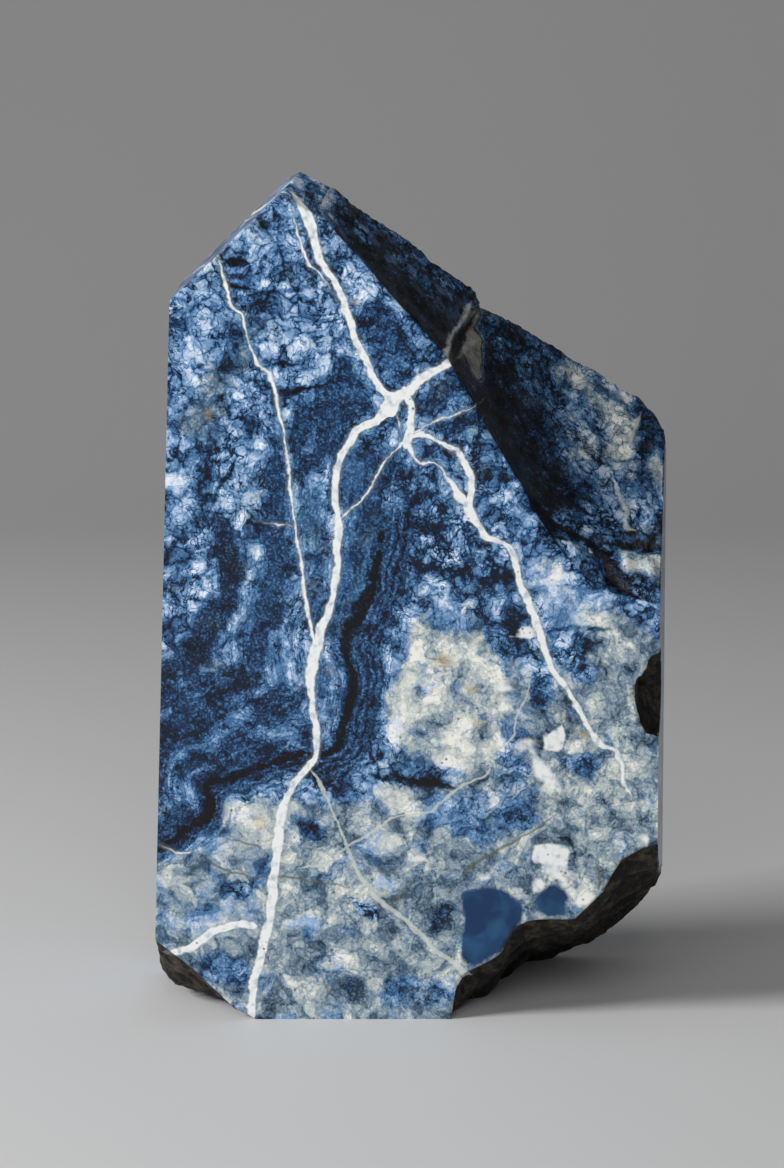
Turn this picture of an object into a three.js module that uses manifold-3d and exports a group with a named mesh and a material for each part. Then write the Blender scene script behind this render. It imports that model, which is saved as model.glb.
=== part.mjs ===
// A standing sodalite specimen, one piece of stone. Its front, back, sides, shoulder and base are sawn flat.
// Natural breaks remain: a deep scoop at the upper right, a ragged top edge behind it, a stepped break under
// the lower right corner, a chip at the lower left and a bite in the right edge.
// Millimetres, +Z up. The stone stands on the plane Z = 0, and its front faces -Y.
import * as THREE from "three";
import { ImprovedNoise } from "three/addons/math/ImprovedNoise.js";
import { mergeVertices } from "three/addons/utils/BufferGeometryUtils.js";
import Module from "manifold-3d";

// The sawn block
const HEIGHT = 102;
const WIDTH = 64.6;
const THICKNESS = 32;
const FRONT_Y = -THICKNESS / 2;
const BACK_Y = THICKNESS / 2;
const LEFT_X = -WIDTH / 2;
const RIGHT_X = WIDTH / 2;
const RIGHT_FRONT_X = 29; // the right side opens out towards the back
const LEFT_LEAN = 0.031; // the left side leans in by this much for each millimetre of height
const BACK_LEAN = 0.06;
const SHOULDER_TILT = 0.05; // the shoulder rises this much for each millimetre towards the back
const BACK_BEVEL = 3; // width of the bevels along the back's two upright edges

// The shoulder at the upper left and the small crown facet at the top, as [x, z] in the front view
const SHOULDER = [-29.5, 87.5];
const CROWN_LEFT = [-16.5, 100];
const CROWN_RIGHT = [-12, 97.5];
const CROWN_PEAK = [-14.5, 102];
const CROWN_DEPTH = 6; // the peak lies this far behind the front face

// The scoop's sharp edge on the front face, from the crown past a bend to its foot, and its soft lower edge
const SCOOP_TOP = [-12, 98];
const SCOOP_BEND = [3.5, 80.5];
const SCOOP_FOOT = [16, 58.5];
const SCOOP_LOWER_EDGE = [[10, 66], SCOOP_FOOT, [20.5, 54], [23, 52.5], [29, 51], [36, 50.5]];
const SCOOP_DEPTH = 26;
const SCOOP_WALL_RUN = 6; // over this distance the wall drops to about two thirds of the depth
const SCOOP_FLOOR_SLOPE = 0.95; // depth gained for each millimetre above the lower edge
const SCOOP_BLEND = 3; // rounding where the wall meets the floor
const SCOOP_LOW = [14, 43]; // ends of the cutting block, up the sharp edge and out from it
const SCOOP_HIGH = [96, 74];

// The rib across the scoop, above which the break is shallower
const RIB_FOOT = [3, 81.5];
const RIB_HEAD = [7, 87.5];
const RIB_STEP = 2.4;
const RIB_WIDTH = 1;

// The ragged top edge from the peak down to the right, as [x, z], and its fall towards the back
const TOP_EDGE = [
  [-22, 109], [-15, 101.5], [-10, 98.5], [7, 87.5], [8, 85], [11.5, 83.5], [27.5, 74], [30, 71.5],
  [31.5, 67.5], [32.5, 60], [36, 52],
];
const TOP_EDGE_DEPTH = 21; // how far behind the front face the profile above is measured
const TOP_EDGE_FALL = 0.12;
const TOP_EDGE_GRAIN = 0.6; // share of the usual grain

// The break under the lower right corner, as [x, z] on the front face and on the back
const LOWER_BREAK_FRONT = [
  [3.5, -3], [4, 1.5], [5, 5.5], [10, 8], [11.5, 11.5], [14, 12.5], [19, 12.5], [23, 16.5], [24, 19.5],
  [26.5, 21], [38, 25],
];
const LOWER_BREAK_BACK = [
  [3.5, -17], [8.5, -9], [10, -5.5], [14.5, -1], [19.5, 1], [22.5, 2], [30, 8], [32, 11.5], [38, 15],
];
const LOWER_BREAK_BOW = 0.75; // below 1, the break drops fastest just behind the front face
const LEDGES = 4;
const LEDGE_FLAT = 0.5; // share of each ledge before its drop
const LEDGE_SHARE = 0.75; // 0 gives an even slope and 1 gives level ledges
const LEDGE_JITTER = 0.1;

// The chip at the lower left, as [x, z] on the front face and along its rim, and how far back these lie
const CHIP_FRONT = [[-36, 14], [-32, 10], [-27.5, 6.5], [-22.5, 1.5], [-20.5, 0.5], [-16, -3]];
const CHIP_RIM = [[-36, 12], [-32.5, 7.5], [-32, 5], [-31, 3], [-30, 2], [-28, 1.5], [-24, 0], [-16, -2]];
const CHIP_RIM_DEPTH = 9;
const CHIP_DEPTH = 25;
const CHIP_END = -1; // there the chip has run out below the base

// The bite in the right edge
const BITE_CENTRE = [31.5, FRONT_Y + 1.5, 40];
const BITE_RADII = [5.5, 9, 6];
const BITE_DETAIL = 6;
const BITE_LUMPS = 3; // lumps across half the bite
const BITE_GRAIN = 0.2; // share of its size by which its surface rises and falls

// Grain of the broken surfaces
const CELL = 1.1; // size of one facet
const LUMP_SIZE = 9;
const LUMP_HEIGHT = 0.9;
const GRIT_SIZE = 2.6;
const GRIT_HEIGHT = 0.35;
const EDGE_CALM = 3; // depth behind the front face where the grain begins
const EDGE_FULL = 9; // depth at which it has grown to full height

const CLEARANCE = 14; // how far the cutting blocks reach past the stone where they enter it
const MARGIN = 2; // how far their sides stand past it
const MERGE_DISTANCE = 1e-4;
const STONE_COLOUR = 0x5c7185;
const STONE_ROUGHNESS = 0.3;

const AXIS_X = new THREE.Vector3(1, 0, 0);
const AXIS_Y = new THREE.Vector3(0, 1, 0);
const AXIS_Z = new THREE.Vector3(0, 0, 1);
const FACING_UP = [AXIS_X, AXIS_Y, AXIS_Z];
const FACING_DOWN = [AXIS_Y, AXIS_X, AXIS_Z.clone().negate()];

const wasm = await Module();
wasm.setup();
const noise = new ImprovedNoise();
const { smoothstep, lerp } = THREE.MathUtils;

function solidFrom(geometry) {
  const bare = geometry.clone();
  bare.deleteAttribute("normal");
  bare.deleteAttribute("uv");
  const merged = mergeVertices(bare, MERGE_DISTANCE);
  const corners = merged.attributes.position;
  const triangles = merged.index ? merged.index.array : [...Array(corners.count).keys()];
  return new wasm.Manifold(
    new wasm.Mesh({
      numProp: 3,
      vertProperties: corners.array,
      triVerts: new Uint32Array(triangles),
    }),
  );
}

function geometryFrom(solid) {
  const mesh = solid.getMesh();
  const geometry = new THREE.BufferGeometry();
  geometry.setAttribute("position", new THREE.BufferAttribute(mesh.vertProperties, 3));
  geometry.setIndex(new THREE.BufferAttribute(mesh.triVerts, 1));
  geometry.computeVertexNormals();
  return geometry;
}

// Height of a profile at x, straight between its points
function profileAt(points, x) {
  const next = points.findIndex((point) => point[0] > x);
  if (next === 0) return points[0][1];
  if (next === -1) return points[points.length - 1][1];
  const [x0, z0] = points[next - 1];
  const [x1, z1] = points[next];
  return lerp(z0, z1, (x - x0) / (x1 - x0));
}

// Lumps and grit of a natural break
function grain(x, y, z) {
  const lumps = noise.noise(x / LUMP_SIZE, y / LUMP_SIZE, z / LUMP_SIZE);
  const grit = noise.noise(x / GRIT_SIZE, y / GRIT_SIZE, z / GRIT_SIZE);
  return lumps * LUMP_HEIGHT + grit * GRIT_HEIGHT;
}

// The grain's share at a depth behind the front face, so that the edges there stay clean
function grainShare(depth) {
  return smoothstep(depth, EDGE_CALM, EDGE_FULL);
}

// The smaller of two depths, rounded where they meet
function softMin(a, b, blend) {
  const share = Math.max(blend - Math.abs(a - b), 0) / blend;
  return Math.min(a, b) - (share * share * blend) / 4;
}

// How far a point of the front view lies to the upper right of the line from a to b
function beyondLine(a, b, x, z) {
  const along = new THREE.Vector2(b[0] - a[0], b[1] - a[1]).normalize();
  return (x - a[0]) * -along.y + (z - a[1]) * along.x;
}

// Takes off everything on the side of a plane that its normal points to
function sawCut(point, normal) {
  const size = 3 * HEIGHT;
  const block = new THREE.BoxGeometry(size, size, size);
  block.translate(0, 0, size / 2);
  block.applyQuaternion(new THREE.Quaternion().setFromUnitVectors(AXIS_Z, normal.clone().normalize()));
  block.translate(point.x, point.y, point.z);
  return solidFrom(block);
}

// A block with one uneven face, which heightAt places on the third axis. The first two run from low to high.
function breakCut(axes, low, high, farSide, heightAt) {
  const across = high[0] - low[0];
  const along = high[1] - low[1];
  const cells = [Math.round(across / CELL), Math.round(along / CELL)];
  const block = new THREE.BoxGeometry(across, along, 1, ...cells, 1);
  block.translate((low[0] + high[0]) / 2, (low[1] + high[1]) / 2, 0);
  const corners = block.attributes.position;
  for (let i = 0; i < corners.count; i++) {
    const height = corners.getZ(i) > 0 ? heightAt(corners.getX(i), corners.getY(i)) : farSide;
    corners.setZ(i, height);
  }
  block.applyMatrix4(new THREE.Matrix4().makeBasis(...axes));
  return solidFrom(block);
}

function sawnBlock() {
  const block = new THREE.BoxGeometry(WIDTH + CLEARANCE, THICKNESS, HEIGHT + CLEARANCE);
  block.translate(0, 0, (HEIGHT + CLEARANCE) / 2);
  const rightOpening = (RIGHT_X - RIGHT_FRONT_X) / THICKNESS;
  const shoulderRise = (CROWN_LEFT[1] - SHOULDER[1]) / (CROWN_LEFT[0] - SHOULDER[0]);
  const crown = new THREE.Plane().setFromCoplanarPoints(
    new THREE.Vector3(CROWN_LEFT[0], FRONT_Y, CROWN_LEFT[1]),
    new THREE.Vector3(CROWN_RIGHT[0], FRONT_Y, CROWN_RIGHT[1]),
    new THREE.Vector3(CROWN_PEAK[0], FRONT_Y + CROWN_DEPTH, CROWN_PEAK[1]),
  );
  const at = (x, y, z) => new THREE.Vector3(x, y, z);
  return solidFrom(block)
    .subtract(sawCut(at(LEFT_X, 0, 0), at(-1, 0, LEFT_LEAN)))
    .subtract(sawCut(at(RIGHT_FRONT_X, FRONT_Y, 0), at(1, -rightOpening, 0)))
    .subtract(sawCut(at(0, BACK_Y, 0), at(0, 1, BACK_LEAN)))
    .subtract(sawCut(at(SHOULDER[0], FRONT_Y, SHOULDER[1]), at(-shoulderRise, -SHOULDER_TILT, 1)))
    .subtract(sawCut(crown.coplanarPoint(at(0, 0, 0)), crown.normal))
    .subtract(sawCut(at(LEFT_X, BACK_Y - BACK_BEVEL, 0), at(-1, 1, LEFT_LEAN + BACK_LEAN)))
    .subtract(sawCut(at(RIGHT_X - BACK_BEVEL, BACK_Y, 0), at(1, 1, BACK_LEAN)));
}

// Depth of the scoop behind the front face, negative where the face is whole
function scoopDepth(x, z) {
  const upper = beyondLine(SCOOP_TOP, SCOOP_BEND, x, z);
  const lower = beyondLine(SCOOP_BEND, SCOOP_FOOT, x, z);
  const inside = Math.max(upper, lower);
  const steepness = SCOOP_DEPTH / SCOOP_WALL_RUN;
  const wall = inside < 0 ? steepness * inside : SCOOP_DEPTH * (1 - Math.exp(-inside / SCOOP_WALL_RUN));
  const floor = SCOOP_FLOOR_SLOPE * (z - profileAt(SCOOP_LOWER_EDGE, x));
  const depth = softMin(wall, floor, SCOOP_BLEND);
  const step = RIB_STEP * smoothstep(beyondLine(RIB_FOOT, RIB_HEAD, x, z), 0, RIB_WIDTH);
  return depth + grainShare(depth) * (grain(x, FRONT_Y, z) - step);
}

// The cells of the scoop run along its sharp edge
function scoop() {
  const up = new THREE.Vector3(SCOOP_TOP[0] - SCOOP_FOOT[0], 0, SCOOP_TOP[1] - SCOOP_FOOT[1]).normalize();
  const out = AXIS_Y.clone().cross(up);
  return breakCut([up, out, AXIS_Y], SCOOP_LOW, SCOOP_HIGH, FRONT_Y - CLEARANCE, (climb, reach) => {
    const place = up.clone().multiplyScalar(climb).addScaledVector(out, reach);
    return FRONT_Y + Math.max(scoopDepth(place.x, place.z), -CLEARANCE / 2);
  });
}

function topEdge() {
  const low = [FRONT_Y - MARGIN, TOP_EDGE.at(0)[0]];
  const high = [BACK_Y + MARGIN, TOP_EDGE.at(-1)[0]];
  return breakCut(FACING_DOWN, low, high, -HEIGHT - CLEARANCE, (y, x) => {
    const behind = y - FRONT_Y - TOP_EDGE_DEPTH;
    return -(profileAt(TOP_EDGE, x) - TOP_EDGE_FALL * behind + TOP_EDGE_GRAIN * grain(x, y, HEIGHT));
  });
}

// Turns an even slope into ledges with steep drops between them
function ledges(share) {
  const level = Math.floor(share * LEDGES);
  const drop = smoothstep(share * LEDGES - level, LEDGE_FLAT, 1);
  return lerp(share, (level + drop) / LEDGES, LEDGE_SHARE);
}

function lowerBreak() {
  const low = [LOWER_BREAK_FRONT.at(0)[0], FRONT_Y - MARGIN];
  const high = [LOWER_BREAK_FRONT.at(-1)[0], BACK_Y + MARGIN];
  return breakCut(FACING_UP, low, high, -CLEARANCE, (x, y) => {
    const depth = Math.max(y - FRONT_Y, 0);
    const slope = Math.pow(depth / THICKNESS, LOWER_BREAK_BOW);
    const jitter = LEDGE_JITTER * grainShare(depth) * noise.noise(x / LUMP_SIZE, y / LUMP_SIZE, HEIGHT);
    const share = ledges(slope + jitter);
    const height = lerp(profileAt(LOWER_BREAK_FRONT, x), profileAt(LOWER_BREAK_BACK, x), share);
    return height + grainShare(depth) * grain(x, y, 0);
  });
}

function chip() {
  const low = [CHIP_FRONT.at(0)[0], FRONT_Y - MARGIN];
  const high = [CHIP_FRONT.at(-1)[0], FRONT_Y + CHIP_DEPTH];
  return breakCut(FACING_UP, low, high, -CLEARANCE, (x, y) => {
    const depth = Math.max(y - FRONT_Y, 0);
    const rim = profileAt(CHIP_RIM, x);
    if (depth < CHIP_RIM_DEPTH) return lerp(profileAt(CHIP_FRONT, x), rim, depth / CHIP_RIM_DEPTH);
    return lerp(rim, CHIP_END, (depth - CHIP_RIM_DEPTH) / (CHIP_DEPTH - CHIP_RIM_DEPTH));
  });
}

function bite() {
  const ball = new THREE.IcosahedronGeometry(1, BITE_DETAIL);
  const corners = ball.attributes.position;
  const radii = new THREE.Vector3(...BITE_RADII);
  const corner = new THREE.Vector3();
  for (let i = 0; i < corners.count; i++) {
    corner.fromBufferAttribute(corners, i);
    const spot = corner.clone().multiplyScalar(BITE_LUMPS);
    const swell = 1 + BITE_GRAIN * noise.noise(spot.x, spot.y, spot.z);
    corner.multiply(radii).multiplyScalar(swell);
    corners.setXYZ(i, ...corner);
  }
  ball.translate(...BITE_CENTRE);
  return solidFrom(ball);
}

const stone = sawnBlock()
  .subtract(scoop())
  .subtract(topEdge())
  .subtract(lowerBreak())
  .subtract(chip())
  .subtract(bite());

const geometry = geometryFrom(stone);
geometry.computeBoundingBox();
const middle = geometry.boundingBox.getCenter(new THREE.Vector3());
geometry.translate(-middle.x, -middle.y, 0);

const sodalite = new THREE.Mesh(
  geometry,
  new THREE.MeshStandardMaterial({ color: STONE_COLOUR, roughness: STONE_ROUGHNESS, metalness: 0 }),
);
sodalite.name = "sodalite";

const group = new THREE.Group();
group.add(sodalite);
export default group;
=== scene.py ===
# Standing slab of banded blue sodalite: sawn and polished faces, natural breaks, white veins
import bpy, math
import numpy as np
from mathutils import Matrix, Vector, noise
from mathutils.kdtree import KDTree
from types import SimpleNamespace


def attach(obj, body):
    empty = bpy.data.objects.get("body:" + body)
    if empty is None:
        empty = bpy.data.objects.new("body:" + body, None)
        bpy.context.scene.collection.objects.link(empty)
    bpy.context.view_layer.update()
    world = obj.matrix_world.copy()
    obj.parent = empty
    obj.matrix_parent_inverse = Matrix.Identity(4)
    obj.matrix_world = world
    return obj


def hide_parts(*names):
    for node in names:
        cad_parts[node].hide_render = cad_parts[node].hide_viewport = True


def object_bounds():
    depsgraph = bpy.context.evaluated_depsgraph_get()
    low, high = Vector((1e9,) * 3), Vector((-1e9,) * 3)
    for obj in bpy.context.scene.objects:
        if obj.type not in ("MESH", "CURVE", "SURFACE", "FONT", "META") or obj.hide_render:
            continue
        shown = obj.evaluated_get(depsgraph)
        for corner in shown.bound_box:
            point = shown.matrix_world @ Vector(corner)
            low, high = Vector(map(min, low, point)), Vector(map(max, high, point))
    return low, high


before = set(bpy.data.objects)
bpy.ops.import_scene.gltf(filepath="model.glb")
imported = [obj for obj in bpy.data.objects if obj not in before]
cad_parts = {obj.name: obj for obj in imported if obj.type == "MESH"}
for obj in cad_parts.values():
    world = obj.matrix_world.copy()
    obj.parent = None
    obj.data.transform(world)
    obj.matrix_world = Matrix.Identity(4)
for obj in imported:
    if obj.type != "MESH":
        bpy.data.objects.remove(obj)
cadBox = [list(corner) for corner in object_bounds()]
mm = 0.001
nearZero = 1e-9  # keeps a division off zero
scene = bpy.context.scene


def readyObject(piece):
    bpy.ops.object.select_all(action="DESELECT")
    bpy.context.view_layer.objects.active = piece
    piece.select_set(True)


def editChosen(piece, kind, chosen):  # opens the mesh with these vertices, edges or faces selected
    readyObject(piece)
    mesh = piece.data
    kinds = {"vertices": mesh.vertices, "edges": mesh.edges, "polygons": mesh.polygons}
    for name, items in kinds.items():
        items.foreach_set("select", chosen if name == kind else np.zeros(len(items), bool))
    bpy.context.tool_settings.mesh_select_mode = [name == kind for name in kinds]
    bpy.ops.object.mode_set(mode="EDIT")


def editAll(piece):
    editChosen(piece, "polygons", np.ones(len(piece.data.polygons), bool))


def leaveEdit():
    bpy.ops.object.mode_set(mode="OBJECT")


def pointsOf(piece):  # vertex places in mm
    flat = np.empty(len(piece.data.vertices) * 3)
    piece.data.vertices.foreach_get("co", flat)
    return flat.reshape(-1, 3) / mm


def planeNumbers(piece):  # for each face, the number of its sawn plane
    values = np.empty(len(piece.data.polygons), np.int32)
    piece.data.attributes["plane"].data.foreach_get("value", values)
    return values


def facesOfPoints(piece):  # for each face corner, its vertex and its face
    mesh = piece.data
    corners = np.empty(len(mesh.loops), np.int32)
    mesh.loops.foreach_get("vertex_index", corners)
    sizes = np.empty(len(mesh.polygons), np.int32)
    mesh.polygons.foreach_get("loop_total", sizes)
    return corners, np.repeat(np.arange(len(sizes)), sizes)


def smoothStep(value, low, high):
    share = np.clip((value - low) / (high - low), 0, 1)
    return share * share * (3 - 2 * share)


stoneShape = {
    "weld": 0.002,  # mm, closer points are merged
    "planeSeed": 6.0,  # mm2, a triangle this large belongs to a sawn plane
    "samePlane": (0.9999, 0.02),  # cosine and mm between large triangles of one plane
    "planeSlack": 0.012,  # mm off a sawn plane that still counts as on it
    "facing": 0.9,  # cosine to the plane of the faces that belong to it
    "tinyFace": 1e-4,  # mm2, too small for a face's normal to count
    "flatFold": 0.6,  # degrees, flatter folds inside a sawn plane are dissolved
    "edgeRound": (0.35, 3),  # mm, segments on the sawn edges
    "cell": 0.8,  # mm, grid over the sawn faces that carries the pattern
    "cutReach": 1e-4,  # mm, points this near a grid cut lie on it
    "sliver": 0.003,  # mm, shorter edges are closed up
    "breakCuts": 2,  # finer faces on the natural breaks
    "breakRim": 1.2,  # mm from a sawn edge over which the roughness grows
    "breakSmooth": (0.5, 3),  # how strongly and how often
    "lumps": (3.2, 0.55),  # relief as mm across, mm high
    "ridges": (1.5, 0.34),
    "pits": (0.55, 0.15),
    "reliefLean": 35,  # degrees off upright, along the scoop's sharp edge
    "reliefStretch": 3.0,
    "scoopLumps": (0.7, 1.2),  # mm up, mm of soft edge
    "scoopGrooves": (-0.9, 0.7),
    "scoopCrests": (0.5, 0.5),
    "crispFold": 38,  # degrees, sharper folds aren't shaded smooth
}


def sawnPlanes(piece):  # numbers the sawn planes, 0 stays for the breaks
    mesh = piece.data
    places = pointsOf(piece)
    count = len(mesh.polygons)
    normals = np.empty(count * 3)
    mesh.polygons.foreach_get("normal", normals)
    normals = normals.reshape(-1, 3)
    areas = np.empty(count)
    mesh.polygons.foreach_get("area", areas)
    areas /= mm * mm
    corners, owners = facesOfPoints(piece)
    turn, gap = stoneShape["samePlane"]
    planes = []
    for face in np.argsort(-areas):
        if areas[face] < stoneShape["planeSeed"]:
            break
        normal = normals[face]
        level = normal @ places[corners[np.searchsorted(owners, face)]]
        if not any(normal @ other > turn and abs(level - height) < gap for other, height in planes):
            planes.append((normal, level))
    numbers = np.zeros(count, np.int32)
    for number, (normal, level) in enumerate(planes, 1):
        off = np.abs(places @ normal - level) > stoneShape["planeSlack"]
        offFaces = np.bincount(owners, off[corners], count) > 0
        facing = (normals @ normal > stoneShape["facing"]) | (areas < stoneShape["tinyFace"])
        numbers[~offFaces & facing] = number
    mesh.attributes.new("plane", "INT", "FACE").data.foreach_set("value", numbers)
    return planes


def edgesBetweenPlanes(piece):
    mesh = piece.data
    numbers = planeNumbers(piece)
    edgeOf = np.empty(len(mesh.loops), np.int32)
    mesh.loops.foreach_get("edge_index", edgeOf)
    corners, owners = facesOfPoints(piece)
    lowest = np.full(len(mesh.edges), numbers.max())
    highest = np.zeros(len(mesh.edges), np.int32)
    np.minimum.at(lowest, edgeOf, numbers[owners])
    np.maximum.at(highest, edgeOf, numbers[owners])
    return (lowest > 0) & (lowest != highest)


def gridCuts(piece, step):
    editChosen(piece, "polygons", planeNumbers(piece) > 0)
    bpy.ops.mesh.hide(unselected=True)
    low, high = np.array(cadBox) / mm
    for axis in range(3):
        normal = [float(axis == side) for side in range(3)]
        for cut in range(1, int((high[axis] - low[axis]) / step)):
            place = [0, 0, 0]
            place[axis] = (low[axis] + cut * step) * mm
            bpy.ops.mesh.select_all(action="SELECT")
            bpy.ops.mesh.bisect(plane_co=place, plane_no=normal, threshold=stoneShape["cutReach"] * mm)
    bpy.ops.mesh.reveal(select=False)
    leaveEdit()


def pointsOnFaces(piece):  # points that touch a sawn face, points that touch a break
    numbers = planeNumbers(piece)
    corners, owners = facesOfPoints(piece)
    count = len(piece.data.vertices)
    onSawn = np.bincount(corners, numbers[owners] > 0, count) > 0
    onBreak = np.bincount(corners, numbers[owners] == 0, count) > 0
    return onSawn, onBreak


def roughShare(piece, onSawn, onBreak):  # 0 on sawn faces and their rims, growing to 1 on the breaks
    places = pointsOf(piece)
    rim = np.flatnonzero(onSawn & onBreak)
    tree = KDTree(len(rim))
    for index in rim:
        tree.insert(places[index], index)
    tree.balance()
    reach = np.zeros(len(places))
    for index in np.flatnonzero(~onSawn):
        reach[index] = tree.find(places[index])[2]
    return smoothStep(reach, 0, stoneShape["breakRim"])


def roughen(piece, name, kind, shape, settings, along=None):
    size, height = shape
    texture = bpy.data.textures.new(name, kind)
    texture.noise_scale = size * mm
    for key, value in settings.items():
        setattr(texture, key, value)
    push = piece.modifiers.new(name, "DISPLACE")
    push.texture = texture
    push.texture_coords = "OBJECT" if along else "LOCAL"
    push.texture_coords_object = along  # an empty whose space leans and stretches the relief
    push.strength = height * mm
    push.mid_level = 0.5
    push.vertex_group = "broken"
    readyObject(piece)
    bpy.ops.object.modifier_apply(modifier=name)


def strokeDepth(spots, stroke):  # mm inside a stroke of (across, up, half width), negative outside it
    deepest = np.full(len(spots), -np.inf)
    for start, end in zip(stroke, stroke[1:] or stroke):
        start, end = np.array(start, float), np.array(end, float)
        along = (end - start)[:2]
        reach = spots - start[:2]
        part = np.clip(reach @ along / max(along @ along, nearZero), 0, 1)
        half = start[2] + part * (end[2] - start[2])
        deepest = np.maximum(deepest, half - np.hypot(*(reach - part[:, None] * along).T))
    return deepest


def carve(piece, strokes, share, height, soft):  # sinks or lifts the break along strokes seen from the front
    places = pointsOf(piece)
    normals = np.empty(len(places) * 3)
    piece.data.vertices.foreach_get("normal", normals)
    inside = np.max([strokeDepth(places[:, [0, 2]], stroke) for stroke in strokes.values()], axis=0)
    lift = height * smoothStep(inside, -soft, soft) * share
    places += lift[:, None] * normals.reshape(-1, 3)
    piece.data.vertices.foreach_set("co", (places * mm).ravel())
    piece.data.update()


# joints, crests and lumps of the scoop as (across, up, half width) in mm; besides the relief, the joints get
# painted shade and the crests painted glints
scoopGrooves = {
    "long": [(13.5, 63.5, 0.2), (17, 60.3, 0.35), (20, 58.5, 0.3), (22.5, 56.5, 0.35), (23.3, 54, 0.3),
             (25.5, 52.3, 0.3), (31, 50.8, 0.3)],
    "upper": [(21, 58.3, 0.2), (24.5, 57.6, 0.25), (27.5, 57.4, 0.25), (31.5, 57, 0.25)],
    "foot": [(14.5, 61.5, 0.3), (16, 59, 0.4), (17.2, 57.2, 0.2)],
    "rib": [(8.2, 86, 0.2), (6, 83.3, 0.3), (4.8, 81.3, 0.35), (4.6, 79.5, 0.2)],
}
scoopCrests = {
    "top": [(28.5, 73, 0.1), (27.6, 71.5, 0.22), (26.8, 70, 0.25), (26.6, 68.5, 0.1)],
    "low": [(24, 65.5, 0.1), (24.8, 63.5, 0.2), (25.6, 61.5, 0.25), (25.4, 60, 0.3), (27.2, 59, 0.2)],
    "rib": [(7.2, 87.4, 0.15), (6, 85, 0.25), (4.2, 83, 0.2), (3.5, 81.3, 0.25), (3.6, 80.2, 0.1)],
}
scoopLumps = {
    "blue": [(18, 58, 0.8), (21, 55.5, 1)],
    "cream": [(25.5, 56, 0.9), (29.5, 54.8, 1)],
    "high": [(27, 62, 1.2), (29, 65, 1.2)],
    "pale": [(22, 76, 1.4), (25, 72.5, 1.4)],
}

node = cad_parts["sodalite"]
stone = bpy.data.objects.new("polishedStone", node.data.copy())
scene.collection.objects.link(stone)
stone.data.materials.clear()

editAll(stone)
bpy.ops.mesh.remove_doubles(threshold=stoneShape["weld"] * mm)
bpy.ops.mesh.dissolve_degenerate(threshold=stoneShape["weld"] * mm)
leaveEdit()
planes = sawnPlanes(stone)
print("stone: sawn planes", len(planes), "faces", len(stone.data.polygons))

# finer breaks first, then each sawn plane as one face
editChosen(stone, "polygons", planeNumbers(stone) == 0)
bpy.ops.mesh.subdivide(number_cuts=stoneShape["breakCuts"], smoothness=0)
leaveEdit()
editChosen(stone, "polygons", planeNumbers(stone) > 0)
bpy.ops.mesh.dissolve_limited(angle_limit=math.radians(stoneShape["flatFold"]))
leaveEdit()
print("stone: after dissolve", len(stone.data.polygons), "sawn", (planeNumbers(stone) > 0).sum())

edgeWidth, edgeSegments = stoneShape["edgeRound"]
editChosen(stone, "edges", edgesBetweenPlanes(stone))
bpy.ops.mesh.bevel(offset=edgeWidth * mm, offset_type="OFFSET", segments=edgeSegments, profile=0.5,
                   clamp_overlap=True, affect="EDGES")
leaveEdit()
gridCuts(stone, stoneShape["cell"])
editAll(stone)
bpy.ops.mesh.dissolve_degenerate(threshold=stoneShape["sliver"] * mm)
leaveEdit()
print("stone: after grid", len(stone.data.polygons))

onSawn, onBreak = pointsOnFaces(stone)
share = roughShare(stone, onSawn, onBreak)
smoothFactor, smoothTimes = stoneShape["breakSmooth"]
editChosen(stone, "vertices", onBreak & ~onSawn)
bpy.ops.mesh.vertices_smooth(factor=smoothFactor, repeat=smoothTimes)
leaveEdit()
group = stone.vertex_groups.new(name="broken")
for index in np.flatnonzero(share > 0):
    group.add([int(index)], float(share[index]), "REPLACE")

ridged = {"musgrave_type": "RIDGED_MULTIFRACTAL"}
bpy.ops.object.empty_add(rotation=(0, math.radians(-stoneShape["reliefLean"]), 0))
flowSpace = bpy.context.object
flowSpace.scale = (1, 1, stoneShape["reliefStretch"])
bpy.context.view_layer.update()
roughen(stone, "breakLumps", "CLOUDS", stoneShape["lumps"], {"noise_depth": 2}, flowSpace)
roughen(stone, "breakRidges", "MUSGRAVE", stoneShape["ridges"], ridged, flowSpace)
readyObject(flowSpace)
bpy.ops.object.delete()
roughen(stone, "breakPits", "CLOUDS", stoneShape["pits"], {"noise_depth": 1})
carve(stone, scoopLumps, share, *stoneShape["scoopLumps"])
carve(stone, scoopGrooves, share, *stoneShape["scoopGrooves"])
carve(stone, scoopCrests, share, *stoneShape["scoopCrests"])
readyObject(stone)
bpy.ops.object.shade_smooth_by_angle(angle=math.radians(stoneShape["crispFold"]))
print("stone: triangles", sum(len(face.vertices) - 2 for face in stone.data.polygons))
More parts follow.
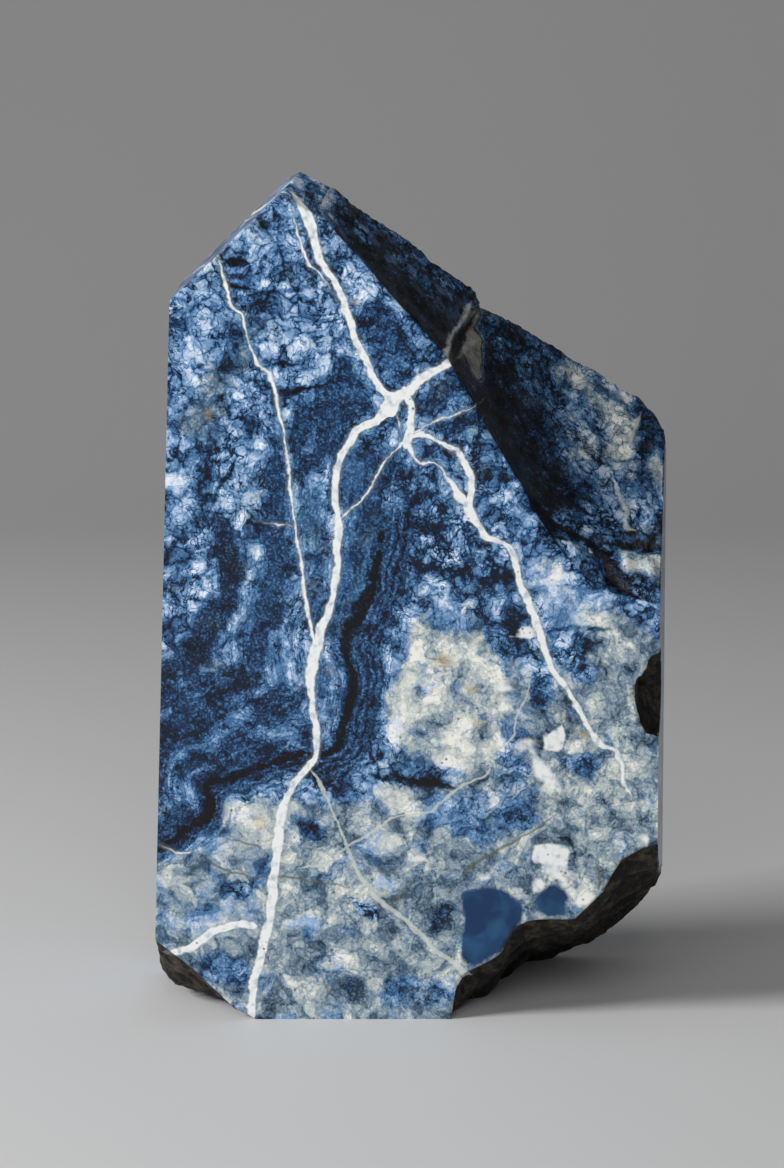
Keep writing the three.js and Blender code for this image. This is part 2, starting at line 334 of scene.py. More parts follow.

# The tones of the front face, drawn in mm and carried into the stone along its beds.
# patch: lightness, contrast, warmth, soft edge, stroke as (across, up, half width) from point to point
stonePatches = {
    "lowGround": (0.59, 0.70, 0.54, 1.5, [(-31, 10, 8.5), (-15, 13, 13.5), (2, 12, 16), (20, 22, 14),
                                          (25, 40, 8)]),
    "topGrey": (0.56, 0.65, 0.15, 1.5, [(-21, 95, 2.5), (-16, 96, 2.5)]),
    "crownRim": (0.92, 0.30, 0.12, 0.5, [(-17.5, 101.3, 0.9), (-14.6, 102.6, 1.4), (-12, 101.4, 0.9)]),
    "greenGrey": (0.48, 0.55, 0.36, 1.2, [(-21, 84, 1), (-22, 80, 2), (-24.5, 76, 2), (-26, 72, 2)]),
    "paleUpper": (0.66, 0.60, 0.10, 1.2, [(-26, 84.5, 1.5), (-28, 81, 1.5)]),
    "paleLavender": (0.68, 0.50, 0.05, 1.2, [(-14.5, 85, 1.6), (-13.5, 82, 1.6)]),
    "paleShelf": (0.64, 0.55, 0.05, 0.7, [(-16, 79, 1.2), (-12, 79, 1.4)]),
    "darkBlotC": (0.24, 0.30, 0.20, 0.5, [(-21.5, 84.5, 0.6), (-22, 82, 0.4)]),
    "navyWedge": (0.30, 0.30, 0.00, 0.4, [(-8.5, 79.5, 1.5), (-8.5, 76.5, 3.2), (-11.5, 73, 3.6),
                                          (-13, 69, 2.2), (-14, 66, 1)]),
    "navyLeftVein": (0.29, 0.25, 0.00, 0.6, [(-17.5, 71, 0.8), (-17, 65, 1.4), (-16.5, 59, 1.6),
                                             (-17, 54, 1.8), (-18.5, 49, 1.8), (-19, 45, 1.2)]),
    "navyByScoop": (0.31, 0.45, 0.00, 0.5, [(-4, 86, 1.2), (-3, 82.5, 2.8), (-2, 79.5, 2)]),
    "paleByScoop": (0.82, 0.20, 0.10, 0.4, [(-3.5, 88, 0.4), (-2, 86.5, 0.5)]),
    "greyFork": (0.32, 0.30, 0.22, 0.6, [(1, 75.5, 1.2), (4, 77, 1.5)]),
    "navyFork": (0.24, 0.40, 0.00, 0.7, [(3, 72.5, 0.8), (6.5, 73, 1)]),
    "paleFork": (0.60, 0.50, 0.05, 0.8, [(8, 71, 1), (9, 68.5, 1.2)]),
    "blueFork": (0.44, 0.60, 0.00, 0.8, [(9, 64, 2), (12, 60.5, 1.5)]),
    "paleForkLow": (0.82, 0.25, 0.20, 0.4, [(11.5, 62.5, 0.4), (13, 62, 0.6)]),
    "slateMiddle": (0.37, 0.25, 0.20, 0.6, [(-7.5, 69, 1.4), (-7, 65.5, 2), (-8.5, 62, 0.8)]),
    "slateBand": (0.37, 0.20, 0.16, 0.6, [(-3.5, 69, 0.8), (-5.5, 64, 1.6), (-6.5, 59, 1.8),
                                          (-7.5, 54, 2.2), (-9.5, 49, 2)]),
    "greyBetween": (0.44, 0.45, 0.20, 0.8, [(-12.5, 65, 1.6), (-12, 58, 1.5), (-12, 52, 1.2)]),
    "paleBead": (0.64, 0.40, 0.05, 0.5, [(-12, 66.5, 0.8)]),
    "darkCurl": (0.36, 0.95, 0.00, 0.8, [(-2, 66, 2.2), (1, 60, 4.5), (5, 57, 4.2), (9, 54.5, 2.5)]),
    "whiteEdge": (0.90, 0.25, 0.20, 0.6, [(-32, 66.5, 1), (-29, 66, 1.2)]),
    "paleStripe": (0.66, 0.40, 0.05, 0.5, [(-29.5, 61.5, 0.6), (-27, 63, 0.6)]),
    "paleLens": (0.70, 0.40, 0.10, 0.6, [(-20, 63.5, 0.7), (-19, 65, 0.8)]),
    "paleCells": (0.58, 0.85, 0.05, 0.6, [(-31, 57, 2.5), (-27, 56, 2.8), (-28.5, 50.5, 2.5)]),
    "slateLeft": (0.22, 0.18, 0.16, 0.5, [(-23, 60, 1.2), (-22.5, 55, 1.4), (-23.5, 50, 1.6),
                                          (-26, 46, 1.8), (-31, 42, 1.6)]),
    "paleStreak": (0.60, 0.50, 0.08, 0.5, [(-19.5, 58.5, 0.7), (-19.5, 55, 0.9), (-20.5, 51, 0.7),
                                           (-21.5, 47, 0.6)]),
    "paleThread": (0.56, 0.50, 0.05, 0.5, [(-17, 47, 0.6), (-16.5, 43, 0.8)]),
    "darkFlow": (0.28, 0.45, 0.04, 1.0, [(-32, 36, 4), (-24, 39, 4), (-17, 39, 3.5), (-14.5, 36, 2.5)]),
    "darkFlowLow": (0.27, 0.45, 0.04, 1.0, [(-32, 30, 4), (-24, 33, 3), (-17, 34, 2.5)]),
    "flowLensA": (0.68, 0.40, 0.05, 0.5, [(-22, 37, 0.5), (-20, 38, 0.8)]),
    "flowLensB": (0.54, 0.40, 0.05, 0.5, [(-17.5, 35.5, 0.5), (-15, 36, 0.7)]),
    "flowLensC": (0.50, 0.40, 0.00, 0.5, [(-32, 31.5, 0.5), (-27, 33.5, 0.4), (-24, 35.5, 0.5)]),
    "flowBead": (0.54, 0.60, 0.00, 0.6, [(-28.5, 29, 1.2)]),
    "seamLobe": (0.46, 0.40, 0.30, 0.4, [(-10.5, 42.5, 1.6)]),
    "paleLow": (0.63, 0.65, 0.42, 1.2, [(-31, 15, 4), (-23, 14, 5), (-21, 22, 4.5)]),
    "greyLow": (0.59, 0.72, 0.58, 1.2, [(-12, 22, 4.5), (-11, 13, 6), (-9, 4, 6), (-1, 7, 6),
                                        (-3, 19, 5)]),
    "edgePale": (0.78, 0.35, 0.40, 1.0, [(-31.5, 16.5, 1.2), (-28.5, 17.5, 1.2)]),
    "lowLeftDark": (0.17, 0.25, 0.00, 0.6, [(-27.5, 25.5, 1.2), (-29.5, 22.5, 1.8), (-33, 20.5, 1.6)]),
    "creamSpot": (0.82, 0.40, 0.58, 0.7, [(-22, 25.3, 2), (-18, 25, 2.3)]),
    "creamUnder": (0.72, 0.40, 0.50, 0.7, [(-22, 21.5, 1.2), (-18.5, 21.5, 1.2)]),
    "blueLow": (0.40, 0.80, 0.05, 0.5, [(-23.5, 16, 0.7), (-21.5, 16, 1)]),
    "paleShelfLow": (0.72, 0.35, 0.40, 0.7, [(-25, 13, 1), (-21, 13.5, 1)]),
    "blueCorner": (0.48, 0.60, 0.05, 0.7, [(-24.5, 7, 1.8), (-22, 6, 1.6)]),
    "paleAbove": (0.76, 0.35, 0.50, 0.7, [(-14.5, 26, 1.2)]),
    "blueSpot": (0.38, 0.70, 0.10, 0.5, [(-13, 24, 0.7), (-11.5, 23.5, 0.7)]),
    "blueLens": (0.38, 0.90, 0.00, 0.5, [(-7, 14.5, 1), (-5.5, 13.5, 0.9)]),
    "whiteLens": (0.86, 0.25, 0.40, 0.4, [(-5, 18, 0.6), (-2.5, 17, 0.8)]),
    "paleLensLow": (0.76, 0.40, 0.45, 0.7, [(-5, 21.5, 1.2), (-3, 21, 1.2)]),
    "paleBlot": (0.78, 0.35, 0.35, 0.7, [(-15, 11.5, 1), (-13.5, 11, 1.2)]),
    "greyGranular": (0.54, 0.45, 0.70, 1.0, [(-4, 9.5, 1.8), (-1.5, 9, 1.5)]),
    "blueFoot": (0.48, 0.60, 0.25, 0.8, [(-2.5, 3.5, 2), (2.5, 3, 2)]),
    "slateSpot": (0.30, 0.12, 0.40, 0.3, [(-7, 3.3, 1.4)]),
    "blueByGlass": (0.32, 0.80, 0.00, 0.6, [(3, 13.5, 1.2), (2, 11.5, 0.7)]),
    "creamHeart": (0.74, 0.70, 0.62, 0.6, [(3.5, 46.5, 4.6), (4, 40, 7.8), (1, 37.5, 5), (6, 36, 5)]),
    "heartRight": (0.62, 0.50, 0.55, 0.9, [(12, 43, 1.2), (13, 37.5, 2)]),
    "heartTop": (0.68, 0.55, 0.18, 0.8, [(2.5, 50, 1.4), (6, 49.5, 1.4)]),
    "heartWhite": (0.90, 0.20, 0.45, 0.9, [(-2, 36.5, 1.2), (-1.5, 41.5, 0.8)]),
    "heartFleckA": (0.36, 0.30, 0.45, 0.4, [(1, 49, 0.6)]),
    "heartFleckB": (0.50, 0.30, 0.55, 0.4, [(4, 48, 0.4)]),
    "heartFleckC": (0.48, 0.30, 0.55, 0.4, [(1.2, 42.8, 0.4), (1.2, 41.5, 0.4)]),
    "heartRim": (0.54, 0.50, 0.08, 0.5, [(-5, 32.5, 0.8), (0, 31, 0.6), (3, 30, 0.4)]),
    "paleUnderHeart": (0.78, 0.35, 0.50, 0.6, [(-4.5, 28, 1), (-2, 27.5, 1.2)]),
    "blueMiddle": (0.54, 0.55, 0.22, 0.9, [(3, 26, 1.8), (8, 25, 3.2), (12, 27.5, 2.8)]),
    "navyMiddle": (0.33, 0.60, 0.00, 0.5, [(11, 25, 0.9), (13.5, 25, 1)]),
    "paleRight": (0.70, 0.60, 0.34, 0.9, [(15.5, 54, 2.5), (18, 51, 3), (23, 50, 2)]),
    "beigeRight": (0.58, 0.74, 0.62, 1.0, [(25, 46, 3), (25, 40, 5), (20, 35, 6), (24, 27, 6),
                                           (17, 26, 3), (21, 18, 4)]),
    "blueRightEdge": (0.48, 0.70, 0.00, 0.6, [(24.5, 51.5, 1), (29, 51, 1)]),
    "navyRightA": (0.32, 0.85, 0.00, 0.4, [(20.5, 46.5, 0.9), (18.5, 44.5, 0.8), (19.5, 42.8, 1.4)]),
    "navyRightB": (0.30, 0.70, 0.00, 0.4, [(16, 42.5, 0.5), (15, 41.5, 0.9), (14.5, 39.5, 0.6)]),
    "navyByCrystal": (0.32, 0.60, 0.05, 0.5, [(12, 49.5, 1.1), (11, 46, 0.8), (13, 45.5, 0.7)]),
    "blueUnderCrystal": (0.36, 0.70, 0.12, 0.6, [(18, 32, 0.9), (20.5, 31, 1)]),
    "blueByTail": (0.46, 0.60, 0.10, 0.6, [(10.5, 32, 0.9), (12.5, 31, 1)]),
}
# the same for the back, seen through from the front
backPatches = {
    "lowGround": (0.54, 0.70, 0.34, 4.0, [(-24, 8, 7), (-6, 13, 10), (14, 5, 9)]),
    "navyBand": (0.28, 0.40, 0.00, 1.0, [(-22, 80, 2.5), (-8, 72, 4), (6, 69, 3), (16, 72, 2)]),
    "slateBand": (0.33, 0.30, 0.25, 1.0, [(-30, 60, 3), (-14, 55, 3), (0, 59, 2)]),
    "paleCloud": (0.68, 0.65, 0.30, 3.0, [(9, 53, 2.5), (16, 46, 4.5), (25, 44, 3)]),
    "paleLens": (0.66, 0.55, 0.10, 1.0, [(-24, 46, 2.5), (-13, 43, 2)]),
    "paleTop": (0.74, 0.50, 0.15, 0.9, [(0, 85, 1.2), (5, 81, 1.6)]),
    "navyFoot": (0.30, 0.70, 0.00, 0.8, [(20, 27, 2.5), (26, 31, 3)]),
    "navyLens": (0.30, 0.70, 0.05, 0.8, [(-8, 25, 1.5), (0, 23, 2)]),
}
# the same for the natural breaks, painted only there
breakPatches = {
    "scoop": (0.27, 0.45, 0.20, 1.0, [(-6, 98, 8), (8, 85, 14), (22, 70, 18), (26, 58, 12)]),
    # painted shadow: the steep wall of the scoop beside its sharp edge, kept near black
    "scoopWallShadow": (0.10, 0.30, 0.30, 1.5, [(-9, 96, 1.2), (3, 82, 3), (9, 74, 4), (16, 62, 2.5)]),
    "scoopStrip": (0.28, 0.55, 0.05, 0.8, [(-4, 95, 1.8), (0, 91, 2), (5, 87.5, 1.2)]),
    # painted light: the top of the strip above the rib, lightened for the light it catches, as it lies in
    # shade under these lamps
    "scoopStripPaintedLight": (0.42, 0.55, 0.05, 1.2, [(-10, 98, 1.6), (-6, 96, 1.8)]),
    "scoopBlue": (0.34, 0.50, 0.10, 1.0, [(8.5, 85, 0.6), (12, 80.5, 1.6), (14.5, 77.5, 1.8)]),
    "scoopLight": (0.56, 0.70, 0.28, 1.5, [(19, 74, 3), (23, 67, 3.5), (26.5, 62, 3)]),
    "scoopPale": (0.74, 0.70, 0.50, 1.0, [(18, 77.5, 1), (22, 77, 1.8), (25.5, 73.5, 2), (26, 69, 1.6),
                                          (24.5, 67, 1)]),
    # painted highlight: a pale patch where the scoop's right rim catches the light
    "scoopHighlight": (0.82, 0.30, 0.50, 0.7, [(29.5, 67, 1), (30.5, 63.5, 1)]),
    "ribFace": (0.58, 0.30, 0.95, 0.6, [(6.3, 85, 1.2), (6.8, 82, 1.9), (7, 79.5, 1.4),
                                        (7.2, 77.5, 0.7)]),
    "blueFloor": (0.48, 0.65, 0.00, 0.7, [(17.5, 61.5, 0.9), (23, 60.5, 1.4)]),
    "blueLump": (0.58, 0.60, 0.00, 0.6, [(17.5, 58.5, 1), (20, 56.5, 1.4), (22, 54, 0.8)]),
    "blueLumpHigh": (0.44, 0.60, 0.00, 0.5, [(23, 57.5, 0.7), (27, 58.8, 0.8)]),
    "creamLump": (0.76, 0.40, 0.56, 0.6, [(25, 56.3, 1), (28, 55, 1.2), (31, 54, 0.9)]),
    "blueLow": (0.50, 0.60, 0.00, 0.5, [(24.5, 53, 0.6), (30, 52, 0.9)]),
    "crown": (0.92, 0.30, 0.15, 0.6, [(-16.8, 100.3, 1.4), (-14.6, 101.4, 2.8), (-11.8, 99.6, 1.8)]),
    "crownBlue": (0.40, 0.60, 0.00, 0.4, [(-13.2, 99.2, 0.3), (-11, 98.5, 0.5), (-9, 97.8, 0.5)]),
    # painted shade: the lower break, the bite and the chip are kept near black because they lie in shadow;
    # their warmth also lays the dark brown break texture on them
    "lowBreakShade": (0.07, 0.45, 0.74, 1.0, [(4, 2, 4), (14, 4, 9), (30, 14, 10)]),
    "biteShade": (0.06, 0.30, 0.74, 1.0, [(31, 40, 8)]),
    "chipShade": (0.04, 0.45, 0.74, 1.0, [(-31, 5, 6), (-24, 1, 5)]),
}
ochreGlows = [  # across, up, radius
    (-12.5, 82.5, 0.7), (-7.5, 87.5, 0.6), (-17, 78, 0.4), (-28, 58.5, 0.5), (-24.5, 74, 0.8),
    (-10.5, 42.5, 0.8),
    (-19.5, 24.5, 1.5), (3.5, 44, 1.6), (6, 41, 1.2), (3.5, 34, 1), (7, 37, 1), (20.5, 35.5, 0.8),
    (16, 24.5, 0.7),
]
# the black seam from the middle down to the left edge, as (across, up, half width)
darkSeam = [(-3.5, 63, 0.15), (-4.5, 58, 0.25), (-5.5, 53, 0.4), (-7, 50, 0.75), (-8.5, 47, 0.5),
            (-8.7, 45, 0.35), (-7.7, 42.5, 0.4), (-8.2, 39, 0.45), (-9, 36, 0.4), (-9.5, 34, 0.55),
            (-12, 32.8, 0.25), (-14.5, 32.8, 0.45), (-17, 31.8, 0.4), (-20, 30.8, 0.35),
            (-23, 29.8, 0.45), (-25.3, 29, 0.45), (-25, 26.8, 0.8), (-25.5, 25, 0.6), (-28, 23.5, 0.45),
            (-29.5, 22, 0.45), (-34, 20.5, 0.4)]
seamFar = [(-80, 5), (-80, -80), (120, -80), (120, 160), (10, 160)]  # closes the side below and right of it
whiteCrystalsAndGlint = {  # white crystals and one painted glint: mm over which the edge fades, outline
    "bright": (0.3, [(15, 34), (16, 35.5), (17.7, 36.5), (18, 35), (17.3, 33), (15.3, 33.5)]),
    "cloudy": (1.0, [(11.8, 33), (12.5, 34.5), (14.5, 35), (14, 33.5)]),
    "tail": (0.7, [(14, 33), (15.3, 32), (18.3, 27.5), (16, 29), (14, 30.5)]),
    "heartStreak": (0.6, [(8.5, 41), (10.5, 41.8), (12.3, 40.5), (10.5, 40.5)]),
    "byVein": (0.4, [(11, 47.3), (13, 48.5), (15.3, 47.5), (13.5, 47)]),
    "block": (0.4, [(14, 19.5), (14, 21.5), (15.5, 22), (18.6, 21.5), (18.3, 18.8), (16, 19.2)]),
    "sliver": (0.4, [(15.5, 18.6), (18.3, 18.3), (18.2, 16.8)]),
    "smallBlock": (0.5, [(14, 17.5), (15.5, 17.5), (15.8, 16.5), (14.3, 15.5)]),
    # painted glint: a small white highlight, drawn like the crystals
    "glint": (0.5, [(7.5, 17.8), (8.5, 18.2), (9.2, 17.6), (8, 17.3)]),
    "lowRight": (0.7, [(26.5, 21.5), (27.3, 23), (28.5, 23), (28, 21.5)]),
}
glassCrystals = {
    "large": [(5.3, 16), (10, 16.5), (13.3, 14), (12.8, 12.5), (10.5, 8.5), (7, 6.5), (5.3, 7.5),
              (5.8, 12)],
    "small": [(16.5, 17), (18.5, 15.5), (18, 13), (16, 12.7), (14.5, 13.7), (14.5, 15)],
}
stoneField = {
    "seed": 5,  # every run draws the same noise
    "noiseStride": (1, 2.3, 3.7),  # spreads a start over the three axes
    "base": (0.53, 0.80, 0.10),  # lightness, contrast, warmth of the mottled blue
    "bedShift": (0.34, -0.22),  # how far the beds move across and up for each mm into the stone
    "bedSway": (5.5, 18.0, 3.0),  # mm of sway, mm between sways, start in the noise
    "swayDepth": 8.0,  # mm into the stone over which the sway grows
    "coarseEdge": (1.1, 5.0, 7.0),  # ragged patch edges: mm of sway, mm across, start in the noise
    "fineEdge": (0.7, 1.8, 11.0),
    "frontDepth": (12.0, 24.0),  # mm into the stone over which the front's patches give way to the back's
    "crystalDepth": 5.0,  # mm into the stone before the crystals taper off
    "crystalTaper": 0.6,  # how much they shrink for each mm past that
    "crystalGone": 20.0,  # mm, shrinks them away on the breaks
    "seamFade": (65.0, 60.0),  # mm up, between which the seam fades in
    "seamTone": (0.25, 0.25, 0.0),  # navy beside the seam
    "seamEdge": (-1.2, -0.2),  # mm across the seam over which the navy begins
    "seamBand": (1.8, 4.0),  # mm of navy below it at the left and beside it at the right
    "bandTurn": (-16, -9),  # mm across, between which the one turns into the other
    "bandEdge": 0.7,  # mm of soft edge
    "flowAbove": (-26, -6),  # mm across the seam over which the streaks begin and end
    "flowBelow": (5, 1),
    "flowFade": (78.0, 60.0),  # mm up, between which they fade in
}


def swayed(places, amount, size, offset):
    start = Vector(stoneField["noiseStride"]) * offset
    return amount * np.array([noise.noise_vector(Vector(place) / size + start)[:] for place in places])


def outlineDepth(spots, outline):  # mm inside an outline, negative outside it
    corners = np.array(outline, float)
    inside = np.zeros(len(spots), bool)
    for start, end in zip(corners, np.roll(corners, -1, axis=0)):
        along = end - start
        if along[1]:
            crosses = (start[1] > spots[:, 1]) != (end[1] > spots[:, 1])
            inside ^= crosses & (spots[:, 0] < start[0] + (spots[:, 1] - start[1]) * along[0] / along[1])
    near = -strokeDepth(spots, [(*corner, 0) for corner in [*outline, outline[0]]])
    return np.where(inside, near, -near)


def paintPatches(tone, spots, patches, mask):
    for light, contrast, warmth, soft, stroke in patches.values():
        part = smoothStep(strokeDepth(spots, stroke), -soft, soft) * mask
        tone += part[:, None] * (np.array([light, contrast, warmth]) - tone)


def storeVector(piece, name, *values):
    flat = np.column_stack(values).ravel()
    piece.data.attributes.new(name, "FLOAT_VECTOR", "POINT").data.foreach_set("vector", flat)


noise.seed_set(stoneField["seed"])
places = pointsOf(stone)
depth = np.clip(places[:, 1] - cadBox[0][1] / mm, 0, None)
broken = np.where(onSawn, 0.0, 1.0)
sawn = 1 - broken
sway = swayed(places, *stoneField["bedSway"]) * np.clip(depth / stoneField["swayDepth"], 0, 1)[:, None]
bed = places.copy()
bed[:, 1] = depth
for axis, slope in zip((0, 2), stoneField["bedShift"]):
    bed[:, axis] += (slope * depth + sway[:, axis]) * sawn
frontSpots = bed[:, [0, 2]]
ragged = swayed(bed, *stoneField["coarseEdge"]) + swayed(bed, *stoneField["fineEdge"])
spots = (bed + ragged)[:, [0, 2]]

tone = np.tile(np.array(stoneField["base"]), (len(places), 1))
behind = smoothStep(depth, *stoneField["frontDepth"])
paintPatches(tone, spots, stonePatches, 1 - behind)
paintPatches(tone, places[:, [0, 2]] + spots - frontSpots, backPatches, behind)

seam = outlineDepth(0.5 * (spots + frontSpots), [point[:2] for point in darkSeam] + seamFar)
seamShow = smoothStep(bed[:, 2], *stoneField["seamFade"]) * sawn
bandLeft, bandRight = stoneField["seamBand"]
band = bandLeft + (bandRight - bandLeft) * smoothStep(bed[:, 0], *stoneField["bandTurn"])
bandEdge = stoneField["bandEdge"]
nearSeam = smoothStep(seam, *stoneField["seamEdge"]) * smoothStep(seam - band, bandEdge, -bandEdge) * seamShow
tone += nearSeam[:, None] * (np.array(stoneField["seamTone"]) - tone)
flow = smoothStep(seam, *stoneField["flowAbove"]) * smoothStep(seam, *stoneField["flowBelow"])
flow *= smoothStep(bed[:, 2], *stoneField["flowFade"]) * sawn
paintPatches(tone, spots, breakPatches, broken)

white = np.max([outlineDepth(frontSpots, outline) / fade for fade, outline in whiteCrystalsAndGlint.values()], axis=0)
glass = np.max([outlineDepth(frontSpots, outline) for outline in glassCrystals.values()], axis=0)
ochre = np.max([smoothStep(strokeDepth(spots, [glow]) / glow[2], 0, 1) for glow in ochreGlows], axis=0)
taper = stoneField["crystalTaper"] * np.clip(depth - stoneField["crystalDepth"], 0, None)
taper += stoneField["crystalGone"] * broken
storeVector(stone, "bed", bed)
storeVector(stone, "tone", tone)
storeVector(stone, "marks", seam, white - taper, glass - taper)
storeVector(stone, "extent", flow, seamShow, ochre * sawn)
stone.data.attributes.new("natural", "FLOAT", "POINT").data.foreach_set("value", broken)
print("stone: pattern fields on", len(places), "points")


def linear(code):  # colour code to scene colour
    parts = [int(code[at:at + 2], 16) / 255 for at in (1, 3, 5)]
    return [part / 12.92 if part < 0.04045 else ((part + 0.055) / 1.055) ** 2.4 for part in parts] + [1.0]


class Wire:  # a shader socket that takes part in sums
    tree = None

    def __init__(self, socket):
        self.socket = socket

    @classmethod
    def node(cls, kind, settings, sockets, out=0):
        made = cls.tree.nodes.new("ShaderNode" + kind)
        for key, value in settings.items():
            if key == "stops":
                ramp = made.color_ramp
                while len(ramp.elements) < len(value):
                    ramp.elements.new(1.0)
                for stop, (at, code) in zip(ramp.elements, value):
                    stop.position, stop.color = at, linear(code)
            elif key == "curve":
                points = made.mapping.curves[0].points
                while len(points) < len(value):
                    points.new(0.5, 0.5)
                for point, spot in zip(points, value):
                    point.location = spot
                    point.handle_type = "AUTO_CLAMPED"
                made.mapping.update()
            else:
                setattr(made, key, value)
        for key, value in sockets.items():
            if isinstance(value, Wire):
                cls.tree.links.new(value.socket, made.inputs[key])
            else:
                made.inputs[key].default_value = value
        return cls(made.outputs[out])

    def sum(self, operation, *others, first=None):
        values = [self if first is None else first] + list(others)
        return Wire.node("Math", {"operation": operation}, dict(enumerate(values)))

    def __add__(self, other):
        return self.sum("ADD", other)

    __radd__ = __add__

    def __sub__(self, other):
        return self.sum("SUBTRACT", other)

    def __rsub__(self, other):
        return self.sum("SUBTRACT", self, first=other)

    def __mul__(self, other):
        return self.sum("MULTIPLY", other)

    __rmul__ = __mul__

    def __abs__(self):
        return self.sum("ABSOLUTE")

    def step(self, low, high):  # 0 below low, 1 above high
        return Wire.node("MapRange", {"interpolation_type": "SMOOTHSTEP"},
                         {"Value": self, "From Min": low, "From Max": high})


def grains(place, size, detail=2, rough=0.5, out="Fac"):  # cloudy noise with grains of a size in mm
    return Wire.node("TexNoise", {"noise_dimensions": "3D"},
                     {"Vector": place, "Scale": 1 / size, "Detail": detail, "Roughness": rough}, out)


def shift(place, push, amount):  # moves a place by a noise colour
    centred = Wire.node("VectorMath", {"operation": "SUBTRACT"}, {0: push, 1: (0.5, 0.5, 0.5)})
    return Wire.node("VectorMath", {"operation": "MULTIPLY_ADD"}, {0: centred, 1: (amount,) * 3, 2: place})


def blendColour(part, under, over):
    return Wire.node("Mix", {"data_type": "RGBA"}, {0: part, 6: under, 7: over}, 2)


def attribute(name, out):
    return Wire.node("Attribute", {"attribute_name": name, "attribute_type": "GEOMETRY"}, {}, out)


def splitVector(vector):
    return [Wire.node("SeparateXYZ", {}, {0: vector}, axis) for axis in range(3)]


def reachAlong(place, direction):
    return Wire.node("VectorMath", {"operation": "DOT_PRODUCT"}, {0: place, 1: direction}, "Value")


lineShape = {
    "end": -0.3,  # mm, half width at both ends, so that a line runs out before them
    "leastSway": 0.5,  # mm, sway that the curve of a straight line still allows for
    "headroom": 1.05,
    "lift": 0.5,  # mm, added to the widths so that the curve holds no negative ones
}


def lineGap(place, points, sofar=None):  # mm inside a line of (across, up, half width), joined to the others
    route = np.array(points, float)
    start, chord = route[0, :2], route[-1, :2] - route[0, :2]
    length = np.hypot(*chord)
    ahead = chord / length
    aside = np.array([-ahead[1], ahead[0]])
    part = (route[:, :2] - start) @ ahead / length
    off = (route[:, :2] - start) @ aside
    slope = np.abs(np.gradient(off, part * length))
    widths = route[:, 2] * np.sqrt(1 + slope ** 2)
    widths[0] = widths[-1] = lineShape["end"]
    spread = max(np.abs(off).max(), lineShape["leastSway"]) * lineShape["headroom"]
    lift = lineShape["lift"]
    widest = widths.max() + lift
    along = reachAlong(place, (ahead[0] / length, 0, ahead[1] / length)) - start @ ahead / length
    middle = Wire.node("FloatCurve", {"curve": list(zip(part, 0.5 + off / (2 * spread)))}, {"Value": along})
    across = reachAlong(place, (aside[0], 0, aside[1])) - start @ aside
    distance = abs(across - middle.sum("MULTIPLY_ADD", 2 * spread, -spread))
    half = Wire.node("FloatCurve", {"curve": list(zip(part, (widths + lift) / widest))}, {"Value": along})
    gap = half.sum("MULTIPLY_ADD", widest, -lift) - distance
    return gap if sofar is None else gap.sum("MAXIMUM", sofar)


def allLines(place, lines):
    gap = None
    for points in lines.values():
        gap = lineGap(place, points, gap)
    return gap


